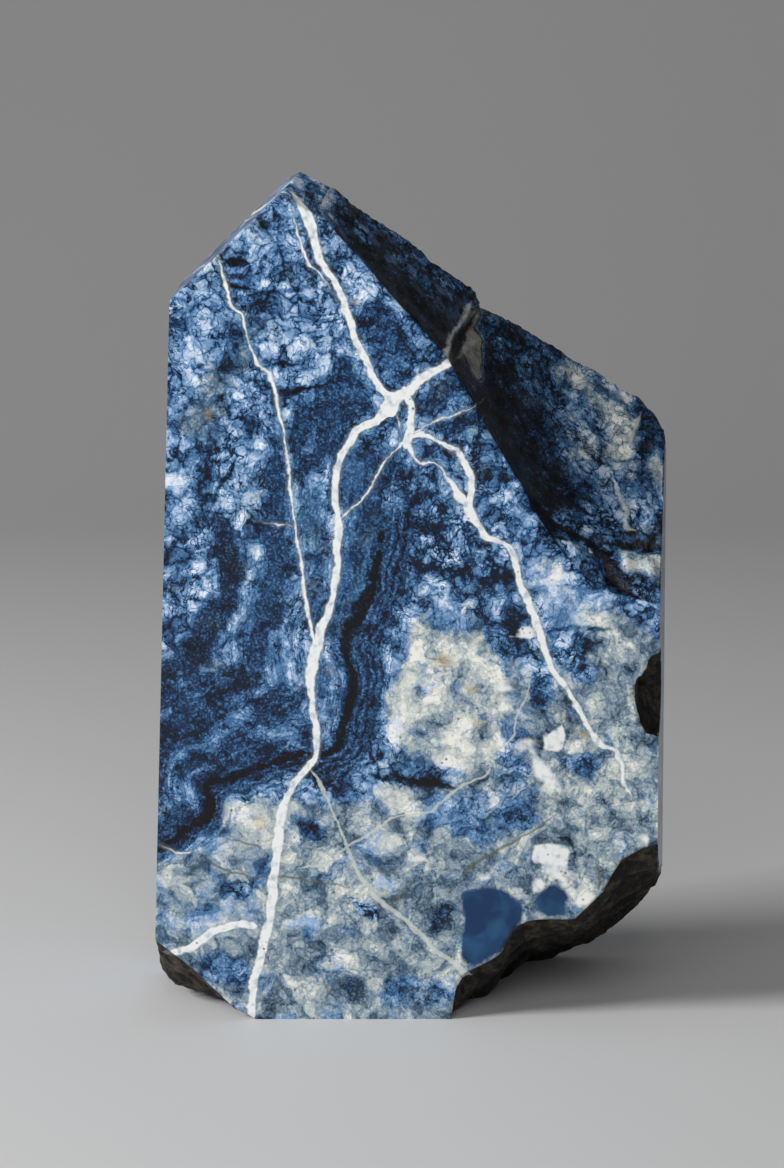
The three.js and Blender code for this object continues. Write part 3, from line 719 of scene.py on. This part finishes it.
# veins and cracks as (across, up, half width) in mm
whiteVeins = {
    "main": [(-14, 100.5, 0.3), (-13, 97.5, 0.65), (-12.3, 95, 0.55), (-11.5, 92.5, 0.42),
             (-9.5, 89, 0.38), (-8.5, 86.5, 0.45), (-7.3, 83, 0.42), (-6, 80, 0.38), (-4.3, 77, 0.6),
             (-3, 75.5, 0.9), (-5.3, 73.2, 0.6), (-8, 70.8, 0.45), (-9.3, 68, 0.45), (-9.8, 65, 0.42),
             (-9.5, 62, 0.38), (-9.5, 58.5, 0.5), (-9.8, 54, 0.42), (-10.3, 51.5, 0.45), (-11.5, 48, 0.5),
             (-12.3, 45.5, 0.7), (-12.8, 42, 0.6), (-12.5, 39, 0.38), (-12.2, 36, 0.42),
             (-12.2, 33.5, 0.32), (-13.5, 31, 0.5), (-15.2, 28.5, 0.38), (-16.2, 26, 0.6),
             (-16.8, 22, 0.65), (-17.3, 18, 0.55), (-17.7, 14, 0.55), (-18.3, 11, 0.58), (-19, 7.5, 0.6),
             (-20, 4, 0.5), (-20.3, 0, 0.55), (-20.5, -4, 0.6)],
    "besideMain": [(-15, 99, 0.1), (-14.2, 95.5, 0.12), (-13.2, 92.5, 0.16), (-11.5, 90.5, 0.12),
                   (-9.2, 87, 0.1)],
    "left": [(-23.8, 93.5, 0.15), (-23.2, 91, 0.14), (-22.5, 88, 0.22), (-20.8, 85.5, 0.18),
             (-20, 83, 0.12), (-19.3, 80.5, 0.22), (-17.5, 78.5, 0.26), (-16.8, 76, 0.2), (-16, 72, 0.15),
             (-15.3, 67, 0.2), (-15, 63, 0.13), (-14.3, 58.5, 0.14), (-13.8, 55, 0.2), (-13.3, 51, 0.26),
             (-12.6, 48, 0.28), (-12.2, 45.5, 0.3)],
    "toScoop": [(-4.5, 74.5, 0.6), (-2.8, 75.6, 0.7), (-1, 76.8, 0.55), (0.5, 78.3, 0.5), (3.5, 80, 0.48),
                (6, 81.5, 0.45), (8, 82.5, 0.4)],
    "junction": [(-1.8, 77.4, 0.3), (-1.4, 76.4, 0.5), (-0.8, 74.5, 0.45), (-0.7, 72.5, 0.42),
                 (-1.1, 71, 0.55), (-1.4, 69.6, 0.4)],
    "junctionBar": [(-3.2, 75.5, 0.15), (-2.3, 73, 0.1), (-1.6, 71, 0.15)],
    "right": [(-1.4, 71.2, 0.3), (-0.6, 71.4, 0.35), (0.3, 71.5, 0.28), (2, 71, 0.22), (4, 70, 0.28),
              (5.5, 68.8, 0.38), (6.3, 67, 0.4), (6.5, 65, 0.45), (6.2, 63, 0.65), (6.8, 61.5, 0.6),
              (7.7, 60, 0.45), (9.5, 58.7, 0.36), (11.3, 57.5, 0.42), (12, 55.5, 0.4), (12.5, 53.5, 0.45),
              (13.5, 51, 0.45), (14.5, 48.5, 0.45), (15.5, 45.5, 0.45), (16.4, 43, 0.4), (18, 41, 0.34),
              (19.5, 38.5, 0.34), (20.7, 36, 0.3), (22, 34, 0.4), (24, 33.2, 0.32), (24.7, 32, 0.28),
              (24.9, 30.5, 0.24), (25.3, 28.5, 0.18), (26.5, 27, 0.1)],
    "fork": [(-1.5, 71, 0.3), (-1, 70.2, 0.35), (-0.5, 69, 0.2), (1, 68.2, 0.12), (2.8, 67.5, 0.12),
             (3.4, 66.3, 0.18), (4.5, 65, 0.36), (5.2, 64, 0.55), (6.6, 62.6, 0.5)],
    "forkLeft": [(-1.1, 71.1, 0.2), (-1.9, 70.4, 0.22), (-3.3, 69, 0.14), (-5, 66.3, 0.15),
                 (-6.5, 64, 0.16), (-8, 62.5, 0.14), (-9.6, 61, 0.2)],
    "forkHair": [(-1, 71.5, 0.12), (0, 72, 0.12), (2.5, 73.2, 0.1), (5, 74.2, 0.09), (7, 75, 0.09),
                 (10, 76.2, 0.1)],
    "corner": [(-32, 7.5, 0.2), (-30.5, 8, 0.3), (-28, 8.8, 0.52), (-26, 10, 0.62), (-24, 11.2, 0.5),
               (-21.5, 11.8, 0.5), (-20, 11.7, 0.4), (-19.3, 11.6, 0.3)],
    "lowHair": [(-32.5, 22, 0.05), (-30, 21.2, 0.06), (-28.3, 20.5, 0.08), (-26.5, 21.7, 0.05)],
    "crossHair": [(-20, 61.2, 0.05), (-17, 60.8, 0.07), (-15.4, 60.6, 0.07), (-14.4, 60.5, 0.06)],
}
creamVeins = {
    "lowRight": [(-13.5, 31.8, 0.3), (-11.5, 29, 0.22), (-10.5, 26.5, 0.14), (-9, 23, 0.16),
                 (-8, 20.5, 0.22), (-7, 18, 0.22), (-6.3, 16.8, 0.34), (-4.5, 14.7, 0.32),
                 (-2.5, 13.2, 0.26), (0, 11, 0.3), (2.5, 8.5, 0.3), (5.5, 6, 0.4), (7, 4.8, 0.4)],
    "crossing": [(14.2, 44.5, 0.1), (13.2, 40, 0.1), (12, 37, 0.12), (11, 34.3, 0.1), (9, 32.8, 0.12),
                 (8.5, 30.5, 0.14), (5, 28.7, 0.14), (2.5, 26.5, 0.14), (0, 25.3, 0.16), (-3, 25, 0.16),
                 (-5, 23.5, 0.14), (-8, 21.7, 0.14), (-10, 20, 0.12), (-12.5, 19, 0.14),
                 (-15.5, 18.7, 0.1)],
    "crossingLow": [(-14, 15.6, 0.1), (-15.5, 14.5, 0.1), (-17.2, 13.3, 0.12)],
}
oliveCracks = {
    "long": [(-26.5, 20.3, 0.1), (-24, 19, 0.11), (-21, 18, 0.1), (-17, 17.8, 0.08), (-13, 17.3, 0.1),
             (-10, 16.7, 0.08), (-6, 16.2, 0.08)],
    "brown": [(-25, 22.7, 0.08), (-22, 22.3, 0.09), (-20, 21.7, 0.1), (-18, 20.2, 0.07)],
    "middle": [(-6.5, 18.5, 0.08), (-4, 18.3, 0.1), (-0.5, 18.3, 0.08)],
    "rising": [(-4.5, 13.6, 0.08), (-2, 15.5, 0.1), (-0.8, 17.2, 0.08)],
    "glassEdge": [(5.2, 16, 0.2), (7, 19.5, 0.2), (9.5, 20.7, 0.18), (12, 22.3, 0.15), (15, 24, 0.15),
                  (18, 26.5, 0.12)],
    "rightEdge": [(21.3, 21, 0.1), (22.2, 17.5, 0.18), (22, 15, 0.18)],
    "bottom": [(-11.4, 0.8, 0.1), (-11, 4, 0.1), (-12, 7, 0.08)],
}
navyLines = {
    "row": [(-23.8, 90.2, 0.1), (-22, 89.3, 0.2), (-19, 88.6, 0.3), (-16, 88.7, 0.2), (-13, 89.1, 0.3),
            (-12, 89.4, 0.1)],
    "blotHigh": [(-19, 96.7, 0.1), (-18, 96.5, 0.5), (-16.8, 96.1, 0.1)],
    "blotLow": [(-23.2, 92.2, 0.1), (-21.5, 92, 0.55), (-19.3, 91.8, 0.1)],
    "shelf": [(-20.3, 79.1, 0.1), (-17.5, 79.9, 0.16), (-15.5, 79.7, 0.16), (-13, 80.1, 0.1)],
    "ledge": [(-15.6, 76, 0.1), (-13.5, 77, 0.2), (-11, 77.5, 0.2), (-10, 79, 0.1)],
    "slateEdge": [(-21, 71, 0.1), (-22, 67.5, 0.2), (-24, 64.5, 0.2), (-25, 61, 0.1)],
    "underHeart": [(-6, 30.6, 0.1), (-4, 30, 0.4), (0, 29.4, 0.45), (3, 28.9, 0.35), (5.5, 28.6, 0.1)],
    "rightHair": [(15.5, 47.7, 0.1), (17.5, 48.2, 0.22), (19.5, 48.4, 0.3), (22, 48.1, 0.2),
                  (24.5, 47.9, 0.1)],
    "spot": [(-13.3, 24, 0.1), (-12.5, 23.9, 0.5), (-11.5, 23.6, 0.1)],
    "besideBlock": [(16.5, 22.6, 0.1), (18.3, 22.3, 0.2), (19, 21, 0.16), (18.6, 18, 0.1)],
}
coolStops = [(0, "#020408"), (0.12, "#0a1a32"), (0.25, "#18385e"), (0.4, "#37628e"), (0.55, "#5f88b2"),
             (0.7, "#95b0d2"), (0.85, "#cad8ec"), (1, "#f2f6fb")]
warmStops = [(0, "#070a0d"), (0.2, "#22364a"), (0.4, "#51697c"), (0.55, "#7c90a0"), (0.7, "#a9b5b8"),
             (0.85, "#d2d6d0"), (1, "#f0efe8")]
stoneColours = {
    "stain": "#a99a6c", "ochre": "#b89a5a", "rust": "#6e5b3e", "dots": "#2a3a52",
    # the three break colours next: the breaks' brown texture, kept very dark as painted shade
    "darkBreakBlack": "#0b0906", "darkBreakBrown": "#4c4333", "darkBreakPale": "#7b7361",
    "crack": "#5d5a41", "cream": "#ccd0c8", "margin": "#7c8a92",
    "vein": "#eef0ee", "veinShade": "#aebbc8", "veinPit": "#39434f",
    # the last two colours: painted shade in the scoop's grooves, painted glints on its crests
    "glassDark": "#12325a", "glassBlue": "#245078", "grooveShade": "#05070a", "crestGlint": "#cfd4d0",
}
stoneNoise = {  # mm across, detail, roughness
    "folds": (9.0, 2, 0.5), "bends": (2.2, 2, 0.5), "cellBends": (0.9, 2, 0.5), "lineBends": (0.8, 2, 0.5),
    "clouds": (2.8, 2, 0.5), "wobble": (1.1, 3, 0.5), "tangle": (0.75, 3, 0.65), "grit": (0.30, 2, 0.6),
    "streaks": (1.0, 4, 0.6), "islands": (3.5, 3, 0.5), "stains": (4.0, 2, 0.5), "darkBreakGrain": (2.4, 5, 0.7),
    "bumps": (0.45, 3, 0.6),
}
stoneAreas = {  # mm across, detail, height of the noise where they begin and where they are full
    "joints": (3.4, 2, 0.42, 0.62), "nests": (3.0, 1, 0.38, 0.58), "knots": (4.2, 1, 0.5, 0.7),
    "flecks": (0.26, 1, 0.42, 0.72), "dots": (2.5, 1, 0.5, 0.62), "veinShade": (0.9, 3, 0.46, 0.78),
    "glassShade": (3.0, 2, 0.35, 0.7),
}
stoneCurls = {"nests": (1.7, 2, 0.004, 0.026), "knots": (1.0, 1, 0.004, 0.03)}  # the same for thin dark lines
markEdges = {  # shaken by wobble, clouds and tangle, where the mark begins and where it is full
    "seam": (1.7, 1.0, 1.3, -0.22, 0.22),
    "navy": (0.6, 0, 0.6, -0.25, 0.2),
    "warm": (0, 0, 0.6, 0.14, 0.58),
    "ochre": (0.8, 0, 0, 0.1, 0.9),
    "crack": (0, 0, 0, -0.12, 0.07),
    "cream": (0.2, 0, 0, -0.1, 0.12),
    "crystalAndGlint": (1.2, 0.8, 0, -0.5, 0.5),
    "margin": (0.6, 0, 0, -0.45, 0.0),
    "vein": (0.4, 0, 0.25, -0.08, 0.16),
    "glass": (0.9, 0, 0.5, -0.25, 0.3),
    "grooveShade": (0.3, 0, 0, -0.3, 0.15),
    "crestGlint": (0.7, 0, 0, -0.25, 0.25),
}
stoneLook = {
    "curl": (5.0, 1.3),  # mm that folds and bends move the pattern
    "cellCurl": (2.6, 1.3),  # mm that bends and cell bends move the cells
    "lineCurl": (1.0, 0.25),  # mm that bends and line bends move the veins
    "crisp": (1.7, 0.32, 0.4),  # loss with warmth, least, gain on the breaks
    "streakScale": (0.9, 0.10),  # per mm, across the seam and any way
    "streaks": (0.85, 0.15),  # along the seam, everywhere
    "mottle": 1.7,
    "wobble": 0.10,
    "toneSteps": 6,  # steps of lightness in the mottling
    "stepShare": 0.6,  # how far the tones gather on them
    "stepRise": (0.0, 0.4),  # part of a step over which it rises
    "stepDrop": 0.025,
    "outlineStart": (-0.01, 0.03),  # dark outline at the foot of a step
    "outlineEnd": (0.0, 0.2),
    "cellScale": 0.48,  # cells per mm
    "cellLine": (0.0, 0.08),  # dark joint and pale middle, from the edge of a cell
    "cellDome": (0.0, 0.25),
    "cellShare": (0.6, 0.35, 0.65),  # loss in the streaks, least, gain where crisp
    "cellTone": (0.44, 0.30, 0.42, 0.18),  # uneven tone, pale middle, dark joint, drop
    "lineTone": (0.62, 0.5, 0.06),  # curls, outlines, rise
    "tangle": (0.12, 0.04),  # with the contrast, everywhere
    "fleckMiddle": 0.4,
    "flecks": (0.26, 0.34, 0.04),  # strength, loss with lightness, least
    "fleckTop": 0.06,
    "grit": (0.08, 0.16),  # strength, gain with warmth
    "ribbonScale": (0.55, 0.12),  # streaks per mm across and along the scoop
    "ribbons": 1.1,
    "floorTone": (0.08, 0.05, 0.2),  # darkest level, loss on the breaks so that the painted shade there can go darker, softness
    "lipSway": (1.4, 1.2),  # wobble and clouds of the hairs beside the seam
    "hairStart": (0.4, 0.9),  # mm from the seam
    "hairEnd": (2.6, 4.6),
    "hairs": (1.5, 6.5, 0.10),  # sway, waves, strength
    "seamDark": (0.30, 0.35),  # strength, change with the streaks
    "navyDark": 0.32,
    "islands": 1.3,  # blue islands in the warm ground
    "islandDark": (0.26, 0.03),  # loss in the islands, gain with warmth
    "stains": (2.4, (0.8, 1.4), (0.2, 0.5), 0.28),  # swing, warmth and lightness they need, strength
    "ochre": 0.55,
    "soiled": (0.62, 0.72),  # warmth of the dark breaks and of the rusty rib
    "rusty": (0.8, 0.94),
    "darkBreakGrain": (0.35, 0.3),  # ribbons and tangle in it
    "darkBreakBrown": (0.42, 0.66),
    "darkBreakPale": (0.62, 0.8, 0.7),  # begins, full, strength
    "darkBreakCover": (0.9, 0.55),  # dark breaks, rust
    "speckScale": 0.9,  # specks per mm
    "dots": (0.10, 0.22, 0.7),  # begins, full, strength
    "dotWarmth": (0.3, 0.5),
    "crack": 0.7,
    "cream": (0.75, 0.6),  # strength, change with the tangle
    "crystalAndGlint": 0.95,
    "margin": 0.35,
    "pits": (0.10, 0.18, 0.8),  # in the veins: begins, full, strength
    "veinLoss": 0.85,  # on the breaks
    "grooveShade": 0.95,
    "crestGlint": 0.7,
    "rough": (0.24, 0.12, 0.16, 0.3, 0.12),  # polish, grit, gain on breaks, on the warm breaks, loss on glass
    "bumps": (0.5, 0.4, 0.03, 0.97),  # strength, mm, share when polished, gain on breaks
    "shine": 0.3,
}


def swing(place, name):  # noise about zero
    return grains(place, *stoneNoise[name]) - 0.5


def noiseColour(place, name):
    return grains(place, *stoneNoise[name], out="Color")


def inAreas(place, name):
    size, detail, low, high = stoneAreas[name]
    return grains(place, size, detail).step(low, high)


def curlLines(place, name):  # where the noise crosses its middle
    size, detail, low, high = stoneCurls[name]
    return 1.0 - abs(grains(place, size, detail) - 0.5).step(low, high)


def marked(field, gap, name):  # 1 inside a mark, with a shaken edge
    *amounts, low, high = markEdges[name]
    for shake, amount in zip((field.wobble, field.clouds, field.tangle), amounts):
        if amount:
            gap = gap + shake * amount
    return gap.step(low, high)


def paintOver(part, under, name):
    return blendColour(part, under, linear(stoneColours[name]))


def bent(place, wide, fine, name):  # moved by two noise colours
    wideReach, fineReach = stoneLook[name]
    return shift(shift(place, wide, wideReach), fine, fineReach)


def speckled(field, name):
    low, high, strength = stoneLook[name]
    return (1.0 - field.specks.step(low, high)) * field.dotted * strength


def stoneFields():  # the painted fields, and the noise that several layers share
    look = stoneLook
    metres = Wire.node("TexCoord", {}, {}, "Object")
    point = Wire.node("VectorMath", {"operation": "SCALE"}, {0: metres, "Scale": 1 / mm})
    field = SimpleNamespace(point=point, broken=attribute("natural", "Fac"))
    field.light, field.contrast, field.warmth = splitVector(attribute("tone", "Vector"))
    field.seam, field.white, field.glass = splitVector(attribute("marks", "Vector"))
    field.flow, field.seamShow, field.ochre = splitVector(attribute("extent", "Vector"))

    bends = noiseColour(point, "bends")
    field.curled = bent(point, noiseColour(point, "folds"), bends, "curl")
    field.cellPlace = bent(point, bends, noiseColour(point, "cellBends"), "cellCurl")
    field.bed = bent(attribute("bed", "Vector"), bends, noiseColour(point, "lineBends"), "lineCurl")

    field.clouds = swing(field.curled, "clouds")
    field.wobble = swing(point, "wobble")
    field.grit = swing(point, "grit")
    field.tangle = swing(field.curled, "tangle")
    acrossSeam, anyWay = look["streakScale"]
    seamPlace = Wire.node("CombineXYZ", {}, {0: field.seam * acrossSeam})
    streakPlace = Wire.node("VectorMath", {"operation": "MULTIPLY_ADD"},
                            {0: field.curled, 1: (anyWay,) * 3, 2: seamPlace})
    field.streaks = swing(streakPlace, "streaks")
    lean = math.radians(stoneShape["reliefLean"])
    acrossScoop, alongScoop = look["ribbonScale"]
    ribbonPlace = Wire.node("CombineXYZ", {}, {
        0: reachAlong(field.cellPlace, (math.cos(lean), 0, math.sin(lean))) * acrossScoop,
        2: reachAlong(field.cellPlace, (math.sin(lean), 0, -math.cos(lean))) * alongScoop})
    field.ribbons = swing(ribbonPlace, "streaks")

    loss, least, gain = look["crisp"]
    field.crisp = (1.0 - field.warmth * loss).sum("MAXIMUM", least) + field.broken * gain
    field.soiled = field.warmth.step(*look["soiled"]) * field.broken
    field.dotted = inAreas(point, "dots")
    speckPlace = {"Vector": point, "Scale": look["speckScale"], "Randomness": 1.0}
    field.specks = Wire.node("TexVoronoi", {}, speckPlace, "Distance")
    return field


def cellLevel(field):  # small rounded cells of uneven tone, in places with dark joints, weaker in the streaks
    look = stoneLook
    cells = {"Vector": field.cellPlace, "Scale": look["cellScale"], "Randomness": 1.0}
    edge = Wire.node("TexVoronoi", {"feature": "DISTANCE_TO_EDGE"}, cells, "Distance")
    shade = splitVector(Wire.node("TexVoronoi", {"feature": "F1"}, cells, "Color"))[0] - 0.5
    joint = (1.0 - edge.step(*look["cellLine"])) * inAreas(field.point, "joints")
    loss, least, gain = look["cellShare"]
    uneven, pale, dark, drop = look["cellTone"]
    tone = shade * uneven + edge.step(*look["cellDome"]) * pale - joint * field.crisp * dark - drop
    return (1.0 - field.flow * loss) * (least + field.crisp * gain) * tone


def mottledLevel(field):  # lightness: clouds in steps with dark outlines, streaks, cells, curls and flecks
    look = stoneLook
    seamStreaks, anyStreaks = look["streaks"]
    moved = field.clouds + field.streaks * (field.flow * seamStreaks + anyStreaks)
    smooth = field.light + field.contrast * moved * look["mottle"] + field.wobble * look["wobble"]
    steps, share = look["toneSteps"], look["stepShare"]
    height = smooth * steps
    rest = height.sum("FRACT")
    stepped = (height.sum("FLOOR") + rest.step(*look["stepRise"])) * (share / steps)
    stepped = stepped + smooth * (1 - share) - look["stepDrop"]
    outline = (1.0 - rest.step(*look["outlineEnd"])) * rest.step(*look["outlineStart"])

    curls = curlLines(field.curled, "nests") * inAreas(field.point, "nests")
    curls = curls.sum("MAXIMUM", curlLines(field.curled, "knots") * inAreas(field.point, "knots"))
    curlDark, outlineDark, rise = look["lineTone"]
    lines = field.crisp * (curls * curlDark + outline * outlineDark - rise)
    flecks = inAreas(field.point, "flecks") - look["fleckMiddle"]
    strength, loss, least = look["flecks"]
    gritLeast, gritGain = look["grit"]
    speckle = flecks * (strength - field.light * loss).sum("MAXIMUM", least)
    speckle = speckle + field.grit * (gritLeast + field.warmth * gritGain)
    tangled, tangledAll = look["tangle"]
    level = stepped + field.contrast * (cellLevel(field) + field.tangle * tangled - lines)
    level = level + speckle + field.tangle * tangledAll
    level = level + field.broken * field.contrast * field.ribbons * look["ribbons"]
    darkest, breakLoss, softness = look["floorTone"]
    return level.sum("SMOOTH_MAX", darkest - field.broken * breakLoss, softness) + flecks * look["fleckTop"]


def seamLevel(field, level):  # the black seam with hairs beside it, and the navy lines
    look = stoneLook
    wobble, clouds = look["lipSway"]
    lip = field.seam + field.wobble * wobble + field.clouds * clouds
    core = marked(field, lineGap(field.bed, darkSeam), "seam") * field.seamShow
    window = lip.step(*look["hairStart"]) * (1.0 - lip.step(*look["hairEnd"])) * field.seamShow
    sway, waves, strength = look["hairs"]
    hairs = ((lip + field.streaks * sway) * waves).sum("SINE")
    navy = marked(field, allLines(field.bed, navyLines), "navy") * (1.0 - field.broken)
    dark, change = look["seamDark"]
    level = level + hairs * window * strength - core * (dark + field.streaks * change)
    return level - navy * look["navyDark"]


def groundColour(field, level):  # blue, with a warm ground that holds blue islands, stains and ochre
    look = stoneLook
    warmIn = marked(field, field.warmth + swing(field.curled, "islands") * look["islands"], "warm")
    loss, gain = look["islandDark"]
    level = level - (1.0 - warmIn) * field.warmth * loss + field.warmth * gain
    cool = Wire.node("ValToRGB", {"stops": coolStops}, {0: level})
    warm = Wire.node("ValToRGB", {"stops": warmStops}, {0: level})
    colour = blendColour(warmIn, cool, warm)
    reach, stainWarmth, stainLight, strength = look["stains"]
    stain = swing(field.curled, "stains") * reach + field.warmth
    colour = paintOver(stain.step(*stainWarmth) * level.step(*stainLight) * strength, colour, "stain")
    return paintOver(marked(field, field.ochre, "ochre") * look["ochre"], colour, "ochre")


def darkBreakColour(field, colour):  # the warm breaks in near black and dark brown (painted shade over their brown texture), the rusty rib, and dark dots in the warm ground
    look = stoneLook
    rusty = field.warmth.step(*look["rusty"])
    ribbons, tangle = look["darkBreakGrain"]
    darkBreakGrain = grains(field.cellPlace, *stoneNoise["darkBreakGrain"]) + field.ribbons * ribbons + field.tangle * tangle
    dark, brown = linear(stoneColours["darkBreakBlack"]), linear(stoneColours["darkBreakBrown"])
    tone = blendColour(darkBreakGrain.step(*look["darkBreakBrown"]), dark, brown)
    start, full, strength = look["darkBreakPale"]
    tone = paintOver(darkBreakGrain.step(start, full) * strength, tone, "darkBreakPale")
    darkBreakCover, rustCover = look["darkBreakCover"]
    colour = blendColour(field.soiled * (1.0 - rusty) * darkBreakCover, colour, tone)
    colour = paintOver(rusty * rustCover, colour, "rust")
    return paintOver(speckled(field, "dots") * field.warmth.step(*look["dotWarmth"]), colour, "dots")


def veinColour(field, colour):  # cracks, cream veins, then white veins and white crystals, one of them a painted glint, in grey margins
    look = stoneLook
    cracks = marked(field, allLines(field.bed, oliveCracks), "crack")
    colour = paintOver(cracks * look["crack"], colour, "crack")
    cover, change = look["cream"]
    cream = marked(field, allLines(field.bed, creamVeins), "cream")
    colour = paintOver(cream * (cover + field.tangle * change), colour, "cream")
    crystalsAndGlint = marked(field, field.white, "crystalAndGlint") * look["crystalAndGlint"]
    veins = allLines(field.bed, whiteVeins)
    margin = marked(field, veins, "margin") * look["margin"]
    colour = paintOver(margin * (1.0 - field.broken), colour, "margin")
    whole = marked(field, veins, "vein").sum("MAXIMUM", crystalsAndGlint)
    tone = paintOver(inAreas(field.point, "veinShade"), linear(stoneColours["vein"]), "veinShade")
    tone = paintOver(speckled(field, "pits"), tone, "veinPit")
    return blendColour(whole * (1.0 - field.broken * look["veinLoss"]), colour, tone)


def scoopColour(field, colour):  # painted shade near black in the scoop's grooves and painted glints along its crests
    shadedGrooves = marked(field, allLines(field.bed, scoopGrooves), "grooveShade")
    colour = paintOver(shadedGrooves * field.broken * stoneLook["grooveShade"], colour, "grooveShade")
    crestGlints = marked(field, allLines(field.bed, scoopCrests), "crestGlint")
    return paintOver(crestGlints * field.broken * stoneLook["crestGlint"], colour, "crestGlint")


def stoneFinish():
    paint = bpy.data.materials.new("bandedSodalite")
    paint.use_nodes = True
    Wire.tree = paint.node_tree
    shader = Wire.tree.nodes["Principled BSDF"]

    field = stoneFields()
    colour = groundColour(field, seamLevel(field, mottledLevel(field)))
    colour = veinColour(field, darkBreakColour(field, colour))
    glassIn = marked(field, field.glass, "glass")
    glassDark = linear(stoneColours["glassDark"])
    glassTone = paintOver(inAreas(field.curled, "glassShade"), glassDark, "glassBlue")
    colour = scoopColour(field, blendColour(glassIn, colour, glassTone))

    polish, grit, onBreaks, onWarmBreak, onGlass = stoneLook["rough"]
    rough = polish + field.grit * grit - glassIn * onGlass
    rough = rough + field.broken * (onBreaks + field.soiled * onWarmBreak)
    strength, height, polished, gain = stoneLook["bumps"]
    relief = grains(field.point, *stoneNoise["bumps"]) * (polished + field.broken * gain)
    bumps = Wire.node("Bump", {}, {"Strength": strength, "Distance": height * mm, "Height": relief})
    shader.inputs["Specular IOR Level"].default_value = stoneLook["shine"]
    for name, value in {"Base Color": colour, "Roughness": rough, "Normal": bumps}.items():
        Wire.tree.links.new(value.socket, shader.inputs[name])
    return paint


stone.data.materials.append(stoneFinish())
print("stone: material nodes", len(Wire.tree.nodes))

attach(stone, "root")
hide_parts("sodalite")

setting = {
    "camera": (-3.0, -416.0, 107.0),  # mm
    "cameraDown": 7.607,  # degrees
    "lens": 103.7,  # mm
    "sensor": 36,  # mm high
    "nearest": 10,  # mm, closer things aren't drawn
    "floorSize": 4.0,  # m
    "floorPlace": -0.8,  # m, its middle lies in front of the stone
    "wallHeight": 2.0,  # m
    "sweep": (0.7, 24),  # m, segments of the curve up to the wall
    "floorTone": 0.62,
    "floorRough": 0.6,
    "key": ((-620, -260, 400), 260, 6.0),  # mm place, mm size, watts
    "fill": ((-120, -720, 420), 500, 2.3),
    "aim": (0, 0, 50),  # mm, where the lights point
    "air": 0.12,
}


def edgesWhere(piece, test):  # edges with both ends in a place
    ends = [test(point.co) for point in piece.data.vertices]
    return np.array([all(ends[end] for end in edge.vertices) for edge in piece.data.edges])


bpy.ops.object.select_all(action="DESELECT")
bpy.ops.mesh.primitive_plane_add(size=setting["floorSize"], location=(0, setting["floorPlace"], 0))
floor = bpy.context.object
bpy.ops.object.transform_apply(location=True, rotation=True, scale=True)
farSide = setting["floorPlace"] + setting["floorSize"] / 2 - mm
editChosen(floor, "edges", edgesWhere(floor, lambda co: co.y > farSide))
bpy.ops.mesh.extrude_region_move(TRANSFORM_OT_translate={"value": (0, 0, setting["wallHeight"])})
leaveEdit()
sweepSize, sweepSegments = setting["sweep"]
editChosen(floor, "edges", edgesWhere(floor, lambda co: co.y > farSide and co.z < mm))
bpy.ops.mesh.bevel(offset=sweepSize, segments=sweepSegments, profile=0.5, affect="EDGES")
leaveEdit()
bpy.ops.object.shade_smooth()
floor.name = "studioFloor"
floorPaint = bpy.data.materials.new("paleFloor")
floorPaint.use_nodes = True
shader = floorPaint.node_tree.nodes["Principled BSDF"]
shader.inputs["Base Color"].default_value = (setting["floorTone"],) * 3 + (1,)
shader.inputs["Roughness"].default_value = setting["floorRough"]
floor.data.materials.append(floorPaint)


def softLight(name, place, size, watts):
    bpy.ops.object.light_add(type="AREA", location=[value * mm for value in place])
    lamp = bpy.context.object
    lamp.name = name
    lamp.data.size = size * mm
    lamp.data.energy = watts
    aim = Vector(setting["aim"]) * mm - lamp.location
    lamp.rotation_euler = aim.to_track_quat("-Z", "Y").to_euler()


softLight("keyLight", *setting["key"])
softLight("fillLight", *setting["fill"])
world = bpy.data.worlds.new("studioAir")
world.use_nodes = True
world.node_tree.nodes["Background"].inputs["Color"].default_value = (setting["air"],) * 3 + (1,)
scene.world = world
scene.view_settings.view_transform = "Standard"

camera = bpy.data.objects.new("photoCamera", bpy.data.cameras.new("photoCamera"))
scene.collection.objects.link(camera)
camera.location = [value * mm for value in setting["camera"]]
camera.rotation_euler = (math.radians(90 - setting["cameraDown"]), 0, 0)
camera.data.sensor_fit = "VERTICAL"
camera.data.sensor_height = setting["sensor"]
camera.data.lens = setting["lens"]
camera.data.clip_start = setting["nearest"] * mm
scene.camera = camera
